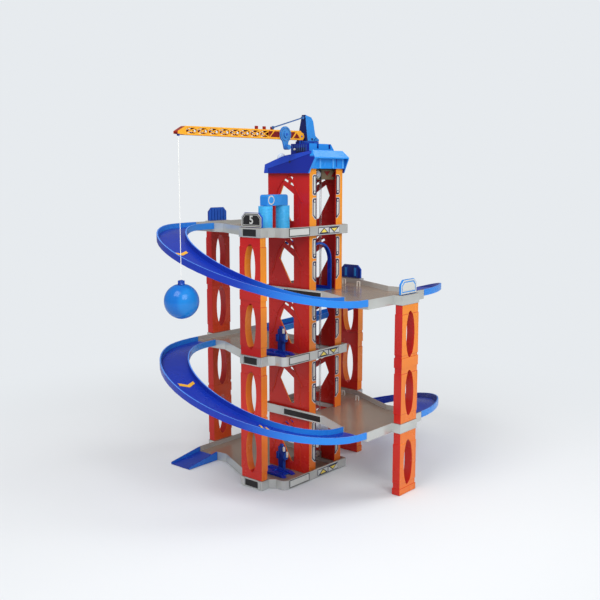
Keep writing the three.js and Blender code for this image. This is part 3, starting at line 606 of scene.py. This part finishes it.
STRING_Y = -0.345
STRING_TOP = 0.6962
STRING_FOOT = 0.4416
STRING_STEPS = [height * MM for height in range(680, 459, -20)]
STRING_ROUTE = [(0, STRING_Y, height) for height in (STRING_TOP, *STRING_STEPS, STRING_FOOT)]
STRING_WIDTH = 0.0012


def make_string():
    curve = bpy.data.curves.new("hanging_string", "CURVE")
    curve.dimensions = "3D"
    curve.bevel_depth = STRING_WIDTH / 2
    curve.bevel_resolution = 3
    curve.use_fill_caps = True
    spline = curve.splines.new("POLY")
    spline.points.add(len(STRING_ROUTE) - 1)
    for point, place in zip(spline.points, STRING_ROUTE):
        point.co = (*place, 1)
    piece = bpy.data.objects.new("hanging_string", curve)
    bpy.context.scene.collection.objects.link(piece)
    curve.materials.append(STRING)
    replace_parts(piece, "string")
    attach(piece, "hanging")
    return piece


hanging_string = make_string()


# Copies of the solids with rounded edges

PANEL_HALF = 0.040
PANEL_STEP = 0.0009
PANEL_SLOPE = 0.0007


def raised_panels(piece, node):
    """Moulds a raised panel round each oval hole of a pillar."""
    low, high = (Vector(corner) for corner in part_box(node))
    middle = (low + high) / 2
    storeys = 1 if node.endswith("_foot") else 2
    storey = (high.z - low.z) / storeys
    wide = PANEL_STEP / ((high.x - low.x) / 2)
    deep = PANEL_STEP / ((high.y - low.y) / 2)
    for index in range(storeys):
        centre = low.z + storey * (index + 0.5)
        editing(True)
        for height in (PANEL_HALF, PANEL_HALF + PANEL_SLOPE):
            for side in (-1, 1):
                pick_all()
                bpy.ops.mesh.bisect(plane_co=(0, 0, centre + side * height), plane_no=(0, 0, 1))
        bpy.ops.mesh.select_all(action="DESELECT")
        editing(False)
        for vertex in piece.data.vertices:
            vertex.select = abs(vertex.co.z - centre) < PANEL_HALF + PANEL_SLOPE / 2
        editing(True)
        bpy.ops.transform.resize(
            value=(1 + wide, 1 + deep, 1), center_override=(middle.x, middle.y, centre),
        )
        editing(False)


DECK_EDGE = 0.0007
WALL_EDGE = 0.0005
PILLAR_EDGE = 0.0006

for level in LEVELS:
    dressed(f"deck_{level}", SILVER, DECK_EDGE)
    for hand in ("left", "right"):
        dressed(f"tower_wall_{hand}_{level}", RED_LIT_SIDE, WALL_EDGE)
for name in (
    "front_left_pillar_lower",
    "front_left_pillar_upper",
    "front_right_foot",
    "front_right_pillar",
    "rear_right_foot",
    "rear_right_pillar",
):
    dressed(name, RED_LIT_SIDE, PILLAR_EDGE, raised_panels)
# The rear-left pillars take the red whose +X side stays dark: painted shade, as they stand in the tower's
# shadow.
for name in ("rear_left_pillar_lower", "rear_left_pillar_upper"):
    dressed(name, RED_DIM_SIDE, PILLAR_EDGE, raised_panels)

# Each row: node, finish and width of the rounded edges
for name, material, width in (
    ("front_left_sign", DARK_BLUE_LIT_SIDE, 0.0005),
    ("rear_left_sign", DARK_BLUE_LIT_SIDE, 0.0005),
    ("rear_right_sign", DARK_BLUE_LIT_SIDE, 0.0005),
    ("front_right_sign", LIGHT_BLUE_LIT_SIDE, 0.0005),
    ("ramp_5_to_4", RAMP_BLUE_WITH_PAINTED_LIGHT, 0.0005),
    ("ramp_4_to_3", RAMP_BLUE_WITH_PAINTED_LIGHT, 0.0005),
    ("ramp_3_to_2", RAMP_BLUE_WITH_PAINTED_LIGHT, 0.0005),
    ("ramp_2_to_1", RAMP_BLUE_WITH_PAINTED_LIGHT, 0.0005),
    ("exit_ramp", EXIT_BLUE_LIT_SIDE, 0.0005),
    ("roof_shell", ROOF_BLUE_LIT_FRONT, 0.0008),
    ("roof_button", BUTTON, 0),
    ("crane_turntable", DARK_BLUE_LIT_SIDE, 0.0004),
    ("crane_mast", MAST_BLUE_LIT_SIDE, 0.0006),
    ("crane_jib", ORANGE_LIT_SIDE, 0.0003),
    ("stay_rod", STAY_BLUE_LIT_SIDE, 0.0002),
    ("winch_drum", WHITE, 0.0002),
    ("winch_crank", CRANK_BLUE_LIT_SIDE, 0.0004),
    ("string_swivel", DARK_BLUE_LIT_SIDE, 0.0002),
):
    dressed(name, material, width)
ball_cap = dressed("ball_cap", DARK_BLUE_LIT_SIDE, 0.0004)
for name, material, width in (
    ("ball", BALL_BLUE_LIT_SIDE, 0),
    ("lift_platform", LIGHT_BLUE_LIT_SIDE, 0.0004),
    ("lift_arch", HOIST_BLUE_LIT_SIDE, 0.0004),
    ("lift_belt", BELT, 0),
    ("top_pulley", WHITE, 0.0003),
    ("bottom_pulley", WHITE, 0.0003),
    ("lift_motor", DARK, 0.001),
    ("lamp_housing", LAMP_PANEL_LIT_SIDE, 0.0006),
    ("lift_lamp", CLEAR, 0.0004),
    ("wash_head", LIGHT_BLUE_LIT_SIDE, 0.0006),
    ("hoist_column_1", DARK_BLUE_LIT_SIDE, 0.0006),
    ("hoist_platform_1", HOIST_BLUE_LIT_SIDE, 0.0005),
    ("hoist_column_3", DARK_BLUE_LIT_SIDE, 0.0006),
    ("hoist_platform_3", HOIST_BLUE_LIT_SIDE, 0.0005),
):
    dressed(name, material, width)

# Modelling of the small trims, in millimetres from here on

AXIS_TURN = {"X": (0, math.pi / 2, 0), "Y": (math.pi / 2, 0, 0), "Z": (0, 0, 0)}
TRIM_ANGLE = 40
SEED_RADIUS = 0.01


def polygon(points):
    """A flat face: a ring of corners, each moved to its own place."""
    deselect()
    bpy.ops.mesh.primitive_circle_add(vertices=len(points), radius=SEED_RADIUS, fill_type="NGON")
    piece = bpy.context.active_object
    for index, point in enumerate(points):
        editing(True)
        bpy.ops.mesh.select_all(action="DESELECT")
        editing(False)
        corner = piece.data.vertices[index]
        corner.select = True
        step = Vector(point) * MM - corner.co
        editing(True)
        bpy.ops.transform.translate(value=step)
        editing(False)
    return piece


def thickened(piece, depth, edge=0.15, ring=0):
    """Turns a flat face into a plate, or with ring into a frame of that width, with softened edges."""
    editing(True)
    pick_all()
    if ring:
        bpy.ops.mesh.inset(thickness=ring * MM)
        bpy.ops.mesh.delete(type="FACE")
        pick_all()
    bpy.ops.mesh.extrude_region_move(TRANSFORM_OT_translate={"value": Vector(depth) * MM})
    pick_all()
    bpy.ops.mesh.normals_make_consistent(inside=False)
    editing(False)
    if edge:
        rounded(piece, edge * MM, 1, TRIM_ANGLE)
    return piece


def bar(low, high, edge):
    """A block from its lowest to its highest corner, with rounded edges."""
    deselect()
    middle = [(a + b) / 2 * MM for a, b in zip(low, high)]
    size = [(b - a) * MM for a, b in zip(low, high)]
    bpy.ops.mesh.primitive_cube_add(size=1, location=middle, scale=size)
    bpy.ops.object.transform_apply(location=True, rotation=False, scale=True)
    editing(True)
    pick_all()
    bpy.ops.mesh.bevel(offset=edge * MM, segments=2, affect="EDGES")
    editing(False)
    return bpy.context.active_object


def disc(middle, radius, length, axis, edge, sides=32):
    """A round piece along an axis, with rounded rims."""
    deselect()
    bpy.ops.mesh.primitive_cylinder_add(
        vertices=sides, radius=radius * MM, depth=length * MM,
        location=[value * MM for value in middle], rotation=AXIS_TURN[axis],
    )
    bpy.ops.object.transform_apply(location=True, rotation=True, scale=True)
    piece = bpy.context.active_object
    rounded(piece, edge * MM, 2, TRIM_ANGLE)
    return piece


def flat_ring(place, radius, thickness, flatness=0.8):
    """A ring round the X axis, pressed flat in edit mode so that it lies on its face like a moulded rim."""
    deselect()
    bpy.ops.mesh.primitive_torus_add(
        location=place, rotation=AXIS_TURN["X"],
        major_radius=radius * MM, minor_radius=thickness * MM, major_segments=48, minor_segments=8,
    )
    bpy.ops.object.transform_apply(location=True, rotation=True, scale=True)
    editing(True)
    pick_all()
    bpy.ops.transform.resize(value=(flatness, 1, 1), center_override=place)
    editing(False)
    return bpy.context.active_object


def copied(piece, rise=0, turned=False):
    """A copy with its own mesh, raised, or turned half round the shaft."""
    deselect()
    twin = piece.copy()
    twin.data = piece.data.copy()
    bpy.context.scene.collection.objects.link(twin)
    twin.select_set(True)
    bpy.context.view_layer.objects.active = twin
    editing(True)
    pick_all()
    if turned:
        bpy.ops.transform.rotate(value=math.pi, orient_axis="Z", center_override=(0, 0, 0))
    bpy.ops.transform.translate(value=(0, 0, rise * MM))
    editing(False)
    return twin


def joined(name, pieces, material, body="root"):
    """Joins the pieces into one that is finished and rides on a body."""
    deselect()
    for piece in pieces:
        piece.select_set(True)
    bpy.context.view_layer.objects.active = pieces[0]
    if len(pieces) > 1:
        bpy.ops.object.join()
    even_shading(bpy.context.active_object)
    return settle(name, material, body)


def rim(level):
    return rim_top(level) / MM


FIRST_RIM = rim(1)


# Labels and mouldings on the decks. A span is a pair, low and high.

EDGE_X = 64.0
LUG_Y = -168.0
REAR_EDGE_Y = -61
LABEL_BAND = (15.5, 3)
LABEL_FRAME_BAND = (17, 1.5)
ARROW_BAND = (16.6, 3)
REAR_BAND = (15.5, 4)
REAR_FRAME_BAND = (17, 2.5)
ARROWS_LEFT, ARROWS_MIDDLE, ARROWS_RIGHT = -35, -0.4, 34
UP_ARROW_Y = -17
DOWN_ARROW_Y = 16
ARROW_OUTLINE_HALF = 15.0
ARROW_HALF = 9.4


def raised_by_level(pieces, levels=ODD_LEVELS):
    """The same pieces on each of the levels, made for the first of them."""
    every = list(pieces)
    for level in levels[1:]:
        every += [copied(piece, rim(level) - rim(levels[0])) for piece in pieces]
    return every


def below_rim(level, band):
    """Span in height of what lies between two distances below the top of a deck's rim."""
    return rim(level) - band[0], rim(level) - band[1]


def edge_plate(y_span, z_span, depth, ring=0):
    """A plate or frame on the deck's edge under the lift's door."""
    (y_low, y_high), (z_low, z_high) = y_span, z_span
    corners = [(y_low, z_low), (y_high, z_low), (y_high, z_high), (y_low, z_high)]
    return thickened(polygon([(EDGE_X, y, z) for y, z in corners]), (depth, 0, 0), ring=ring)


def front_plate(x_span, z_span, depth, y, ring=0):
    """A plate or frame on a face that looks to -Y."""
    (x_low, x_high), (z_low, z_high) = x_span, z_span
    corners = [(x_low, z_low), (x_high, z_low), (x_high, z_high), (x_low, z_high)]
    return thickened(polygon([(x, y, z) for x, z in corners]), (0, depth, 0), ring=ring)


def edge_triangle(y_middle, base, tip, half_width, depth):
    """An arrow head on the deck's edge; base and tip are distances below the rim."""
    z_base, z_tip = below_rim(1, (base, tip))
    corners = [(y_middle - half_width, z_base), (y_middle + half_width, z_base), (y_middle, z_tip)]
    return thickened(polygon([(EDGE_X, y, z) for y, z in corners]), (depth, 0, 0), 0)


joined(
    "deck_labels_pale",
    raised_by_level([edge_plate((-122, -64), below_rim(1, LABEL_BAND), 0.5)]),
    PALE,
)
joined(
    "deck_label_borders",
    raised_by_level([edge_plate((-124, -62), below_rim(1, LABEL_FRAME_BAND), 0.7, 1.2)]),
    DARK,
)
joined(
    "arrow_plates",
    raised_by_level([edge_plate((ARROWS_LEFT, ARROWS_RIGHT), below_rim(1, ARROW_BAND), 0.4)]),
    PALE,
)
joined(
    "arrow_plate_borders",
    raised_by_level([
        edge_plate((ARROWS_LEFT, ARROWS_MIDDLE), below_rim(1, ARROW_BAND), 0.6, 1.3),
        edge_plate((ARROWS_MIDDLE, ARROWS_RIGHT), below_rim(1, ARROW_BAND), 0.6, 1.3),
        edge_triangle(UP_ARROW_Y, 15.4, 4.2, ARROW_OUTLINE_HALF, 0.6),
        edge_triangle(DOWN_ARROW_Y, 4.4, 15.2, ARROW_OUTLINE_HALF, 0.6),
    ]),
    NAVY,
)
joined(
    "lift_arrows",
    raised_by_level([
        edge_triangle(UP_ARROW_Y, 13.6, 6.6, ARROW_HALF, 0.9),
        edge_triangle(DOWN_ARROW_Y, 6.2, 12.8, ARROW_HALF, 0.9),
    ]),
    YELLOW,
)
joined(
    "deck_end_blocks",
    raised_by_level([bar((62.5, 33, FIRST_RIM - 18.6), (65.2, 60.8, FIRST_RIM - 0.4), 0.6)]),
    SILVER,
)
joined(
    "lug_panels",
    raised_by_level([front_plate((-17.5, 17.5), below_rim(1, (16.5, 3)), -0.4, LUG_Y)]),
    DARK,
)
joined(
    "lug_bars",
    raised_by_level([
        bar((x_low, LUG_Y - 1.4, FIRST_RIM - 18.6), (x_high, LUG_Y + 0.6, FIRST_RIM - 0.6), 0.5)
        for x_low, x_high in ((-24.5, -18.6), (18.6, 24.5))
    ]),
    SILVER,
)
joined(
    "rear_edge_labels",
    raised_by_level([front_plate((-6, 92), below_rim(2, REAR_BAND), -0.5, REAR_EDGE_Y)], EVEN_LEVELS),
    DARK,
)
joined(
    "rear_edge_label_borders",
    raised_by_level([
        front_plate((-8, 94), below_rim(2, REAR_FRAME_BAND), -0.7, REAR_EDGE_Y, 1.1),
    ], EVEN_LEVELS),
    PALE,
)

# Outlines on the door jambs of the tower

JAMB_X = 56.0
DOOR_SIDE = 32.3
JAMB_LABEL_SIDE = 43.2
JAMB_TOP_CUT = 3.0
JAMB_DOT_Y = 37.6
# Lowest and highest height above the rim, cut of the lower corner and height of the dot
JAMB_LABELS = ((14, 55, 8.0, 50), (62, 101, 3.0, 67))


def jamb_label(side, z_low, z_high, low_cut, grow, depth, ring=0):
    door = side * DOOR_SIDE
    outer = side * (JAMB_LABEL_SIDE + grow)
    low = FIRST_RIM + z_low - grow
    high = FIRST_RIM + z_high + grow
    points = [
        (door, low), (outer - side * low_cut, low), (outer, low + low_cut),
        (outer, high - JAMB_TOP_CUT), (outer - side * JAMB_TOP_CUT, high), (door, high),
    ]
    return thickened(polygon([(JAMB_X, y, z) for y, z in points]), (depth, 0, 0), 0.1, ring)


fills = []
outlines = []
dots = []
for side in (-1, 1):
    for z_low, z_high, low_cut, dot_rise in JAMB_LABELS:
        dot_y = side * JAMB_DOT_Y
        dot_z = FIRST_RIM + dot_rise
        fills.append(jamb_label(side, z_low, z_high, low_cut, 1.3, 0.3))
        outlines.append(jamb_label(side, z_low, z_high, low_cut, 0, 0.5, 2.4))
        outlines.append(disc((JAMB_X + 0.25, dot_y, dot_z), 3.6, 0.6, "X", 0.1, 20))
        dots.append(disc((JAMB_X + 0.45, dot_y, dot_z), 2.2, 0.6, "X", 0.1, 20))
joined("jamb_labels", raised_by_level(fills, LEVELS), PALE)
joined("jamb_label_borders", raised_by_level(outlines, LEVELS), NAVY)
joined("jamb_label_dots", raised_by_level(dots, LEVELS), WHITE)


# Arched ribs on the tower's outer walls

WALL_Y = -53.0
# X, and height above the rim
LEFT_ARCH = [(-50, 24), (-44, 32), (-39, 45), (-35, 60), (-29, 74), (-20, 86), (-9, 95), (2, 101)]
RIGHT_ARCH = [(2, 101), (9, 93), (16, 82), (22, 70), (30, 58), (37, 47)]


def rib(points, width, y, depth):
    """A narrow raised rib that follows points in X and Z."""
    outer = []
    inner = []
    for index, (x, z) in enumerate(points):
        before = points[max(index - 1, 0)]
        after = points[min(index + 1, len(points) - 1)]
        run = Vector((after[0] - before[0], after[1] - before[1])).normalized()
        outer.append((x - run.y * width / 2, y, z + run.x * width / 2))
        inner.append((x + run.y * width / 2, y, z - run.x * width / 2))
    return thickened(polygon(outer + inner[::-1]), (0, depth, 0), 0.3)


ribs = [
    rib([(x, FIRST_RIM + rise) for x, rise in arch], 3.0, WALL_Y, -1.6)
    for arch in (LEFT_ARCH, RIGHT_ARCH)
]
ribs.append(bar((29, WALL_Y - 1.0, FIRST_RIM + 2), (31.4, WALL_Y + 0.4, FIRST_RIM + 58), 0.4))
arches = raised_by_level(ribs, LEVELS)
arches += [copied(piece, turned=True) for piece in arches]
joined("tower_wall_ribs", arches, RED_DIM_SIDE)

# Name plates

PLATE_LOW = 0.3
PLATE_RISE = 29.0
PLATE_CUT = 9.0
PLATE_HALF = 27.5
FRONT_LEFT_Y = -162.0
FRONT_RIGHT_X = 248.0
LUG_SHIFT = 17.5
SIGN_RIB_LOW = 1.5
SIGN_RIB_HIGH = 26
SIGN_RIB_HALF = 1.2
SIGN_MARK_HALF = 2.6


def sign_outline(margin, level):
    """The outline of a name plate's face, with cut upper corners."""
    low = rim(level) + PLATE_LOW + margin
    high = rim(level) + PLATE_LOW + PLATE_RISE - margin
    reach = PLATE_HALF - margin
    cut_off = PLATE_CUT - margin * 0.4
    return [
        (-reach, low), (reach, low), (reach, high - cut_off),
        (reach - cut_off, high), (cut_off - reach, high), (-reach, high - cut_off),
    ]


def front_left_face(margin, depth, ring=0):
    points = [(across, FRONT_LEFT_Y, up) for across, up in sign_outline(margin, 5)]
    return thickened(polygon(points), (0, -depth, 0), ring=ring)


def front_right_face(margin, depth, ring=0):
    points = [(FRONT_RIGHT_X, LUG_SHIFT + across, up) for across, up in sign_outline(margin, 4)]
    return thickened(polygon(points), (depth, 0, 0), ring=ring)


joined("front_left_sign_face", [front_left_face(2.6, 0.3)], DARK)
joined("front_left_sign_border", [
    front_left_face(1.0, 0.6, 1.5),
    front_left_face(4.2, 0.5, 0.9),
], PALE)
joined("front_right_sign_border", [front_right_face(1.2, 0.6, 2.6)], PALE)
joined("front_right_sign_face", [front_right_face(6.0, 0.35)], PALE)
low, high = rim(4) + SIGN_RIB_LOW, rim(4) + SIGN_RIB_HIGH
joined("rear_right_sign_ribs", [
    bar((across - SIGN_RIB_HALF, 156.6, low), (across + SIGN_RIB_HALF, 158.4, high), 0.4)
    for across in (-17, -9, 9, 17)
], DARK_BLUE_LIT_SIDE)
joined("rear_right_sign_marks", [
    bar((across - SIGN_MARK_HALF, 156.2, low + 2.5), (across + SIGN_MARK_HALF, 158.4, high - 3), 0.5)
    for across in (-13, 13)
], LIGHT_BLUE_LIT_SIDE)
low, high = rim(5) + SIGN_RIB_LOW, rim(5) + SIGN_RIB_HIGH
joined("rear_left_sign_ribs", [
    bar((-244.4, across - SIGN_RIB_HALF, low), (-242.6, across + SIGN_RIB_HALF, high), 0.4)
    for across in (offset - LUG_SHIFT for offset in (-18, -9, 0, 9, 18))
], DARK_BLUE_LIT_SIDE)


def plain_number(text, middle, height, depth):
    """A plain upright number that faces -Y."""
    deselect()
    bpy.ops.object.text_add(location=(0, 0, 0))
    piece = bpy.context.active_object
    piece.data.body = text
    piece.data.align_x = "CENTER"
    piece.data.align_y = "CENTER"
    piece.data.size = height * MM * 1.4
    piece.data.extrude = depth * MM / 2
    piece.data.offset = 0.0004
    bpy.ops.object.convert(target="MESH")
    piece = bpy.context.active_object
    piece.rotation_euler = (math.pi / 2, 0, 0)
    piece.location = Vector(middle) * MM
    bpy.ops.object.transform_apply(location=True, rotation=True, scale=True)
    return piece


number_place = (0, FRONT_LEFT_Y - 0.4, rim(5) + 14.2)
joined("level_number", [plain_number("5", number_place, 16, 0.7)], PALE)


# Marks on the ramps

RAMP_START = 20
RAMP_TURN = 160
RAMP_MIDDLE = 204.5
MARK_LIFT = 0.15


def ramp_point(level, angle, radius):
    """A point on the floor of the ramp that leaves a deck, at an angle round the ramp's own axis."""
    share = max(0.0, (angle - RAMP_START) / RAMP_TURN)
    fall = STOREY / MM * share * share * (3 - 2 * share)
    side = 1 if level % 2 else -1
    turn = math.radians(angle)
    return (
        -radius * math.cos(turn) * side,
        (-RAMP_AXIS / MM - radius * math.sin(turn)) * side,
        floor_top(level) / MM - fall + MARK_LIFT,
    )


def chevron(level, angle, middle, reach=16.0, run=3.0, thick=2.6):
    """An arrow on the ramp's floor that points down the ramp."""
    low = middle - reach
    high = middle + reach
    corners = [
        (angle, low), (angle + thick, low), (angle + thick + run, middle),
        (angle + thick, high), (angle, high), (angle + run, middle),
    ]
    return thickened(polygon([ramp_point(level, *corner) for corner in corners]), (0, 0, 0.3), 0)


# Level of the deck that a ramp leaves, and radius of its single arrow
SINGLE_ARROWS = ((5, 209), (3, 200), (4, RAMP_MIDDLE), (2, RAMP_MIDDLE))
arrows = [chevron(level, 72, middle) for level, middle in SINGLE_ARROWS]
arrows += [chevron(3, angle, 203, 10, 1.7, 1.5) for angle in (123.2, 126.4)]
joined("ramp_arrows", arrows, GOLD)

# Roof trims

EAVE_Y = -60.0
EAVE_Z = 632.0
ROOF_LEAN = 8.0 / 45.0
BLOCK_Y = -35.0
# X and Z round the raised band on the roof's side
SIDE_BAND = [
    (-60.8, 632.6), (-51, 632.6), (-51, 641), (61, 670.5), (61.8, 676), (-12, 666.4), (-60.8, 649.4),
]

band = polygon([(x, EAVE_Y + ROOF_LEAN * (z - EAVE_Z), z) for x, z in SIDE_BAND])
joined("roof_side_band", [thickened(band, (0, -0.9, 0.16), 0.3)], BAND_BLUE_LIT_SIDE)
# A dark disc for the hole: painted shade.
joined("roof_side_hole_shade", [disc((6, -55.9, 655), 2.6, 1.2, "Y", 0.2)], DARK)
# Light blue caps on the roof's front ribs: painted highlights.
joined("roof_front_rib_highlights", [
    bar((59.6, y - 2.6, 641.6), (61.8, y + 2.0, 660.6), 0.5) for y in (-26.0, 15.6, 47.6)
], RIB_HIGHLIGHT_BLUE)
# A dark blue bar for the slot: painted shade.
joined("roof_front_slot_shade", [bar((60.0, 26, 645), (60.7, 29, 660.6), 0.2)], DARK_BLUE_LIT_SIDE)
joined("roof_block_marks", [
    bar((x, BLOCK_Y - 0.7, 676), (x + 1.6, BLOCK_Y + 0.2, 689), 0.2) for x in range(-5, 32, 6)
], STAY_BLUE_LIT_SIDE)
# A navy plate darkens the recess: painted shade.
joined("roof_block_recess_shade", [front_plate((5, 29), (672.5, 683), -0.5, BLOCK_Y)], NAVY)
joined("roof_side_lamp", [disc((2, BLOCK_Y - 1.4, 680), 2.2, 2.6, "Y", 0.6)], WHITE)

# Crane trims

TEETH = 36
TEETH_RADIUS = 19.2
TOOTH_HALF = 0.8
TEETH_LOW = 691.6
TEETH_HIGH = 696.4
WINCH_Y = -71
WINCH_Z = 708
JIB_SIDE = 6.0
# Y and Z of the plates that close the jib's side beside its lattice
JIB_PANELS = (
    [(-118, 713.2), (-116, 702), (-104, 713.4)],
    [(-113, 702), (-87, 702), (-87, 713.5), (-100, 713.5)],
    [(-55, 702), (-48, 702), (-38, 713.8), (-55, 713.6)],
    [(-44, 701.8), (-24, 701.8), (-34, 712)],
)


def ring_of_points(count, radius, offset=0.0):
    """Points in X and Y, evenly round a circle."""
    turns = [math.radians(step * 360 / count + offset) for step in range(count)]
    return [(radius * math.cos(turn), radius * math.sin(turn)) for turn in turns]


joined("turntable_teeth", [
    bar((x - TOOTH_HALF, y - TOOTH_HALF, TEETH_LOW), (x + TOOTH_HALF, y + TOOTH_HALF, TEETH_HIGH), 0.25)
    for x, y in ring_of_points(TEETH, TEETH_RADIUS)
], DARK_BLUE_LIT_SIDE, "crane")
# Navy bars for the slots in the mast: painted shade.
joined("mast_slot_shades", [
    bar((14.0, 3, 698.5), (14.6, 7, 703), 0.2),
    bar((13.9, 15, 698.5), (14.6, 19, 703), 0.2),
], NAVY, "crane")
joined("mast_step", [bar((-15.2, 12, 697.4), (15.2, 26.4, 701.5), 0.8)], MAST_BLUE_LIT_SIDE, "crane")
joined("crank_hub", [disc((10.6, WINCH_Y, WINCH_Z), 6.4, 2.6, "X", 0.7)], CRANK_BLUE_LIT_SIDE, "winch")
joined("crank_pin_cap", [disc((12.2, WINCH_Y, WINCH_Z), 2.6, 1.6, "X", 0.5)], DARK_BLUE_LIT_SIDE, "winch")
crank_face = Vector((9.3, WINCH_Y, WINCH_Z)) * MM
joined("crank_rim", [flat_ring(crank_face, 12.6, 0.7)], STAY_BLUE_LIT_SIDE, "winch")
joined("jib_panels", [
    thickened(polygon([(side * JIB_SIDE, y, z) for y, z in panel]), (side * 0.14, 0, 0), 0)
    for side in (-1, 1) for panel in JIB_PANELS
], DEEP_RED, "jib")

# Lamp housing lattice

LATTICE_X = 46.0
# Y and Z of the two triangles
LATTICE_TRIANGLES = (
    ((5.1, 635.9), (24.2, 635.9), (14.6, 626.6)),
    ((27.7, 624.8), (48.6, 624.8), (37.4, 635.4)),
)

joined("lamp_housing_panels", [
    thickened(polygon([(LATTICE_X, y, z) for y, z in triangle]), (0.3, 0, 0), 0)
    for triangle in LATTICE_TRIANGLES
], DEEP_RED)
joined("lamp_housing_bars", [
    bar((LATTICE_X, -9.7, 619.4), (LATTICE_X + 1.2, -4.8, 638), 0.3),
    bar((LATTICE_X, -30, 619.4), (LATTICE_X + 0.8, -28, 638), 0.3),
], DARK)
low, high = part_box("lift_lamp")
lamp_face = (Vector(low) + Vector(high)) / 2
lamp_face.x = LATTICE_X * MM
joined("lamp_rim", [flat_ring(lamp_face, 7.0, 0.9)], PALE)

# Car wash trims

EMBLEM_Y = -118
EMBLEM_Z = 579.4
ROLLER_X = 2
ROLLER_Z = 543
ROLLER_RADIUS = 14
ROLLER_LENGTH = 49.5
ROLLER_SIDES = 96
ROLLER_ROWS = 8
INNER_REACH = 13.2
PUSHED_IN = 0.93

joined("wash_emblem_ring", [disc((12.2, EMBLEM_Y, EMBLEM_Z), 9.2, 0.8, "X", 0.3)], PALE)
joined("wash_emblem", [disc((12.7, EMBLEM_Y, EMBLEM_Z), 6.6, 0.8, "X", 0.3)], LIGHT_BLUE_LIT_SIDE)
joined("wash_head_ridge", [
    bar((-8.6, y, 570), (12.4, y + 1.6, 588), 0.4) for y in (-127.5, -71)
], LIGHT_BLUE_LIT_SIDE)


def brush(y, body, node):
    """A roller of bristles: every second patch of its side is pushed in towards the axle."""
    deselect()
    centre = Vector((ROLLER_X, y, ROLLER_Z)) * MM
    bpy.ops.mesh.primitive_cylinder_add(
        vertices=ROLLER_SIDES, radius=ROLLER_RADIUS * MM, depth=ROLLER_LENGTH * MM, location=centre,
    )
    bpy.ops.object.transform_apply(location=True, rotation=True, scale=True)
    piece = bpy.context.active_object
    editing(True)
    pick_all()
    bpy.ops.mesh.subdivide(number_cuts=ROLLER_ROWS - 1)
    bpy.ops.mesh.select_all(action="DESELECT")
    editing(False)
    row_height = ROLLER_LENGTH / ROLLER_ROWS
    for vertex in piece.data.vertices:
        arm = (vertex.co - centre) / MM
        strip = round(math.degrees(math.atan2(arm.y, arm.x)) * ROLLER_SIDES / 360)
        row = round((arm.z + ROLLER_LENGTH / 2) / row_height)
        vertex.select = math.hypot(arm.x, arm.y) > INNER_REACH and (strip + row) % 2 == 0
    editing(True)
    bpy.ops.transform.resize(value=(PUSHED_IN, PUSHED_IN, 1), center_override=centre)
    editing(False)
    bpy.ops.object.shade_flat()
    return settle(node + "_brush", ROLLER_BLUE, body)


# Y of the axle, body and node
ROLLERS = (
    (-124, "roller_front", "wash_roller_front"),
    (-73, "roller_rear", "wash_roller_rear"),
)
for y, body, node in ROLLERS:
    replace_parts(brush(y, body, node), node)

# Hoist trims. The carriage leaves a slot in its middle for the platform's tongue.

CARRIAGE_Y = (-66.5, -54.6)
CARRIAGE_RISE = (21, 37)
# X of the two cheeks beside the slot, and of the thin panels on them
CARRIAGE_CHEEKS = ((-25, -17.6), (-10.4, -1))
CARRIAGE_PANELS = ((-23, -18), (-10, -3))
PANEL_Y = (-67.6, -66)
PANEL_INSET = 3
TREAD_ROWS = (-100.5, -73.5)
TREAD_HALF = 5.2
TREAD_WIDTH = 1.2

for level in HOIST_LEVELS:
    floor = floor_top(level) / MM
    low, high = floor + CARRIAGE_RISE[0], floor + CARRIAGE_RISE[1]
    joined(f"hoist_carriage_{level}", [
        bar((x_low, CARRIAGE_Y[0], low), (x_high, CARRIAGE_Y[1], high), 1.2)
        for x_low, x_high in CARRIAGE_CHEEKS
    ] + [
        bar((x_low, PANEL_Y[0], low + PANEL_INSET), (x_high, PANEL_Y[1], high - PANEL_INSET), 0.6)
        for x_low, x_high in CARRIAGE_PANELS
    ], DARK_BLUE_LIT_SIDE)
    joined(f"hoist_post_{level}", [
        bar((-17.5, -63.5, floor + 48), (-10.5, -57, floor + 54), 0.8),
        disc((-14, -60, floor + 44), 5.0, 1.4, "Z", 0.4),
    ], DARK_BLUE_LIT_SIDE)
    joined(f"hoist_fittings_{level}", [
        bar((-6.4, -66, floor + 40), (-2.4, -62, floor + 50), 0.8),
        bar((1.2, -64, floor + 28), (4.6, -60, floor + 40), 0.8),
    ], WHITE)
    joined(f"hoist_treads_{level}", [
        bar((x, y - TREAD_HALF, floor + 5.1), (x + TREAD_WIDTH, y + TREAD_HALF, floor + 5.9), 0.2)
        for y in TREAD_ROWS for x in range(-34, 20, 6)
    ], DARK_BLUE_LIT_SIDE, f"hoist_{level}")

# Small white rails beside the parking bays of the even decks

RAIL_HALF_SPAN = 4.5
RAIL_HALF_DEPTH = 0.9
RAIL_POST = 1.8


def rail(x, y, level):
    """Two posts and the bar over them."""
    base = floor_top(level) / MM
    left, right = x - RAIL_HALF_SPAN, x + RAIL_HALF_SPAN
    near, far = y - RAIL_HALF_DEPTH, y + RAIL_HALF_DEPTH
    return [
        bar((left, near, base), (left + RAIL_POST, far, base + 11), 0.4),
        bar((right - RAIL_POST, near, base), (right, far, base + 11), 0.4),
        bar((left, near, base + 9.6), (right, far, base + 11.4), 0.5),
    ]


rails = []
for level in EVEN_LEVELS:
    rails += rail(60, 107, level) + rail(7, 125, level)
joined("bay_rails", rails, WHITE)

# Crown of the ball's cap

CROWN_PINS = 8
CROWN_RADIUS = 5.4
CROWN_Z = 437

cap_crown = joined("ball_cap_crown", [
    disc((x, STRING_Y / MM + y, CROWN_Z), 1.1, 7, "Z", 0.4, 12)
    for x, y in ring_of_points(CROWN_PINS, CROWN_RADIUS, 22.5)
], DARK_BLUE_LIT_SIDE, "hanging")


low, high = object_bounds()
